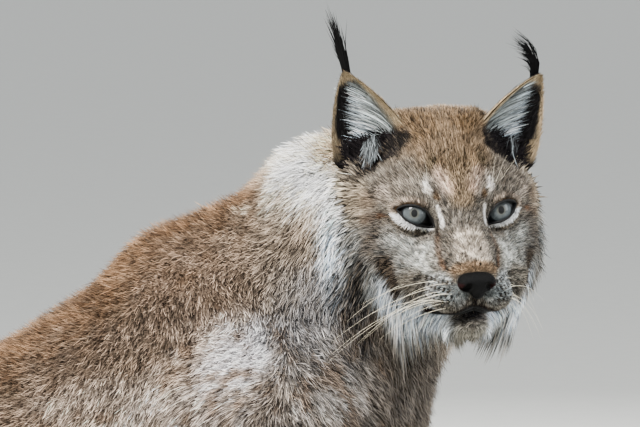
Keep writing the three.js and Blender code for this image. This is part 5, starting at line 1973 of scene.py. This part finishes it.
# A point of the design's middle plane and its place in the photo, and so the place of the aimed point
KNOWN_POINT = (0.0, 600.0)
KNOWN_PIXEL = (195, 205)
AIM_PIXEL = (
    KNOWN_PIXEL[0] + (CAMERA_AIM[0] - KNOWN_POINT[0]) / MM_PER_PIXEL,
    KNOWN_PIXEL[1] + (KNOWN_POINT[1] - CAMERA_AIM[2]) / MM_PER_PIXEL,
)
LIGHTS_AIM = np.array([0.12, -0.05, 0.42])
SKY = (0.80, 0.83, 0.87, 1)
SKY_STRENGTH = 1.4
FLOOR_COLOUR = (0.86, 0.86, 0.85)
FLOOR_RADIUS = 60.0
FLOOR_CORNERS = 96
# Each light's place, size, power and colour
LIGHTS = {
    "key": ((-1.3, -1.9, 3.2), 1.3, 700, (1.0, 0.98, 0.95)),
    "fill": ((3.4, -0.9, 1.5), 2.0, 190, (0.94, 0.97, 1.0)),
    "back": ((0.2, 2.8, 2.4), 2.2, 310, (1, 1, 1)),
}


def placed(name, data, place, right, back):
    """An object in the scene that looks the other way from its back axis."""
    made = bpy.data.objects.new(name, data)
    bpy.context.scene.collection.objects.link(made)
    made.location = place
    axes = zip(right, np.cross(back, right), back)
    made.rotation_mode = "QUATERNION"
    made.rotation_quaternion = Matrix([list(axis) for axis in axes]).to_quaternion()
    return made


def make_camera():
    """The camera stands where the photo's stood, and shifts the aimed point to its place in the picture."""
    rise = np.radians(CAMERA_RISE)
    back = np.array([0, -np.cos(rise), np.sin(rise)])
    data = bpy.data.cameras.new("camera")
    data.sensor_width = SENSOR
    data.lens = SENSOR * CAMERA_AWAY / (PHOTO_SIZE[0] * MM_PER_PIXEL)
    data.shift_x = (PHOTO_SIZE[0] / 2 - AIM_PIXEL[0]) / PHOTO_SIZE[0]
    data.shift_y = (AIM_PIXEL[1] - PHOTO_SIZE[1] / 2) / PHOTO_SIZE[0]
    data.clip_start = 0.1
    data.clip_end = 200
    place = (CAMERA_AIM + back * CAMERA_AWAY + FLOOR_SHIFT) * MM
    bpy.context.scene.camera = placed("camera", data, place, np.array([1, 0, 0]), back)


def make_light(name, place, size, power, colour):
    """A square light that looks at the body's middle."""
    data = bpy.data.lights.new(name, "AREA")
    data.size = size
    data.energy = power
    data.color = colour
    back = unit(np.array(place, float) - LIGHTS_AIM)
    placed(name, data, place, unit(np.cross([0, 0, 1], back)), back)


def make_stage():
    """The sky, a wide round floor and the lights."""
    world = bpy.data.worlds.new("world")
    world.use_nodes = True
    sky = world.node_tree.nodes["Background"]
    sky.inputs["Color"].default_value = SKY
    sky.inputs["Strength"].default_value = SKY_STRENGTH
    bpy.context.scene.world = world
    turns = np.arange(FLOOR_CORNERS) / FLOOR_CORNERS * 2 * np.pi
    rim = [(FLOOR_RADIUS * np.cos(turn), FLOOR_RADIUS * np.sin(turn), 0) for turn in turns]
    mesh = bpy.data.meshes.new("floor")
    mesh.from_pydata(rim, [], [list(range(FLOOR_CORNERS))])
    mesh.materials.append(plain_material("floor", FLOOR_COLOUR, 0.8, 40, 0.02, 0.02))
    floor = bpy.data.objects.new("floor", mesh)
    bpy.context.scene.collection.objects.link(floor)
    for name, values in LIGHTS.items():
        make_light(name, *values)


make_camera()
make_stage()
skin = make_skin()
make_coat(skin)
EYE = eye_material()
LID_SKIN = plain_material("lid_skin", LID_COLOUR, 0.65, 500, 0.3, 0.15, 0.1)
for side_name, side_sign in SIDES.items():
    make_ear_skin(side_name, side_sign)
    make_ear_coat(side_name, side_sign)
    make_eye(side_name, side_sign, EYE)
    make_lids(side_name, side_sign, LID_SKIN)
make_nose()
make_lips()
make_whiskers()
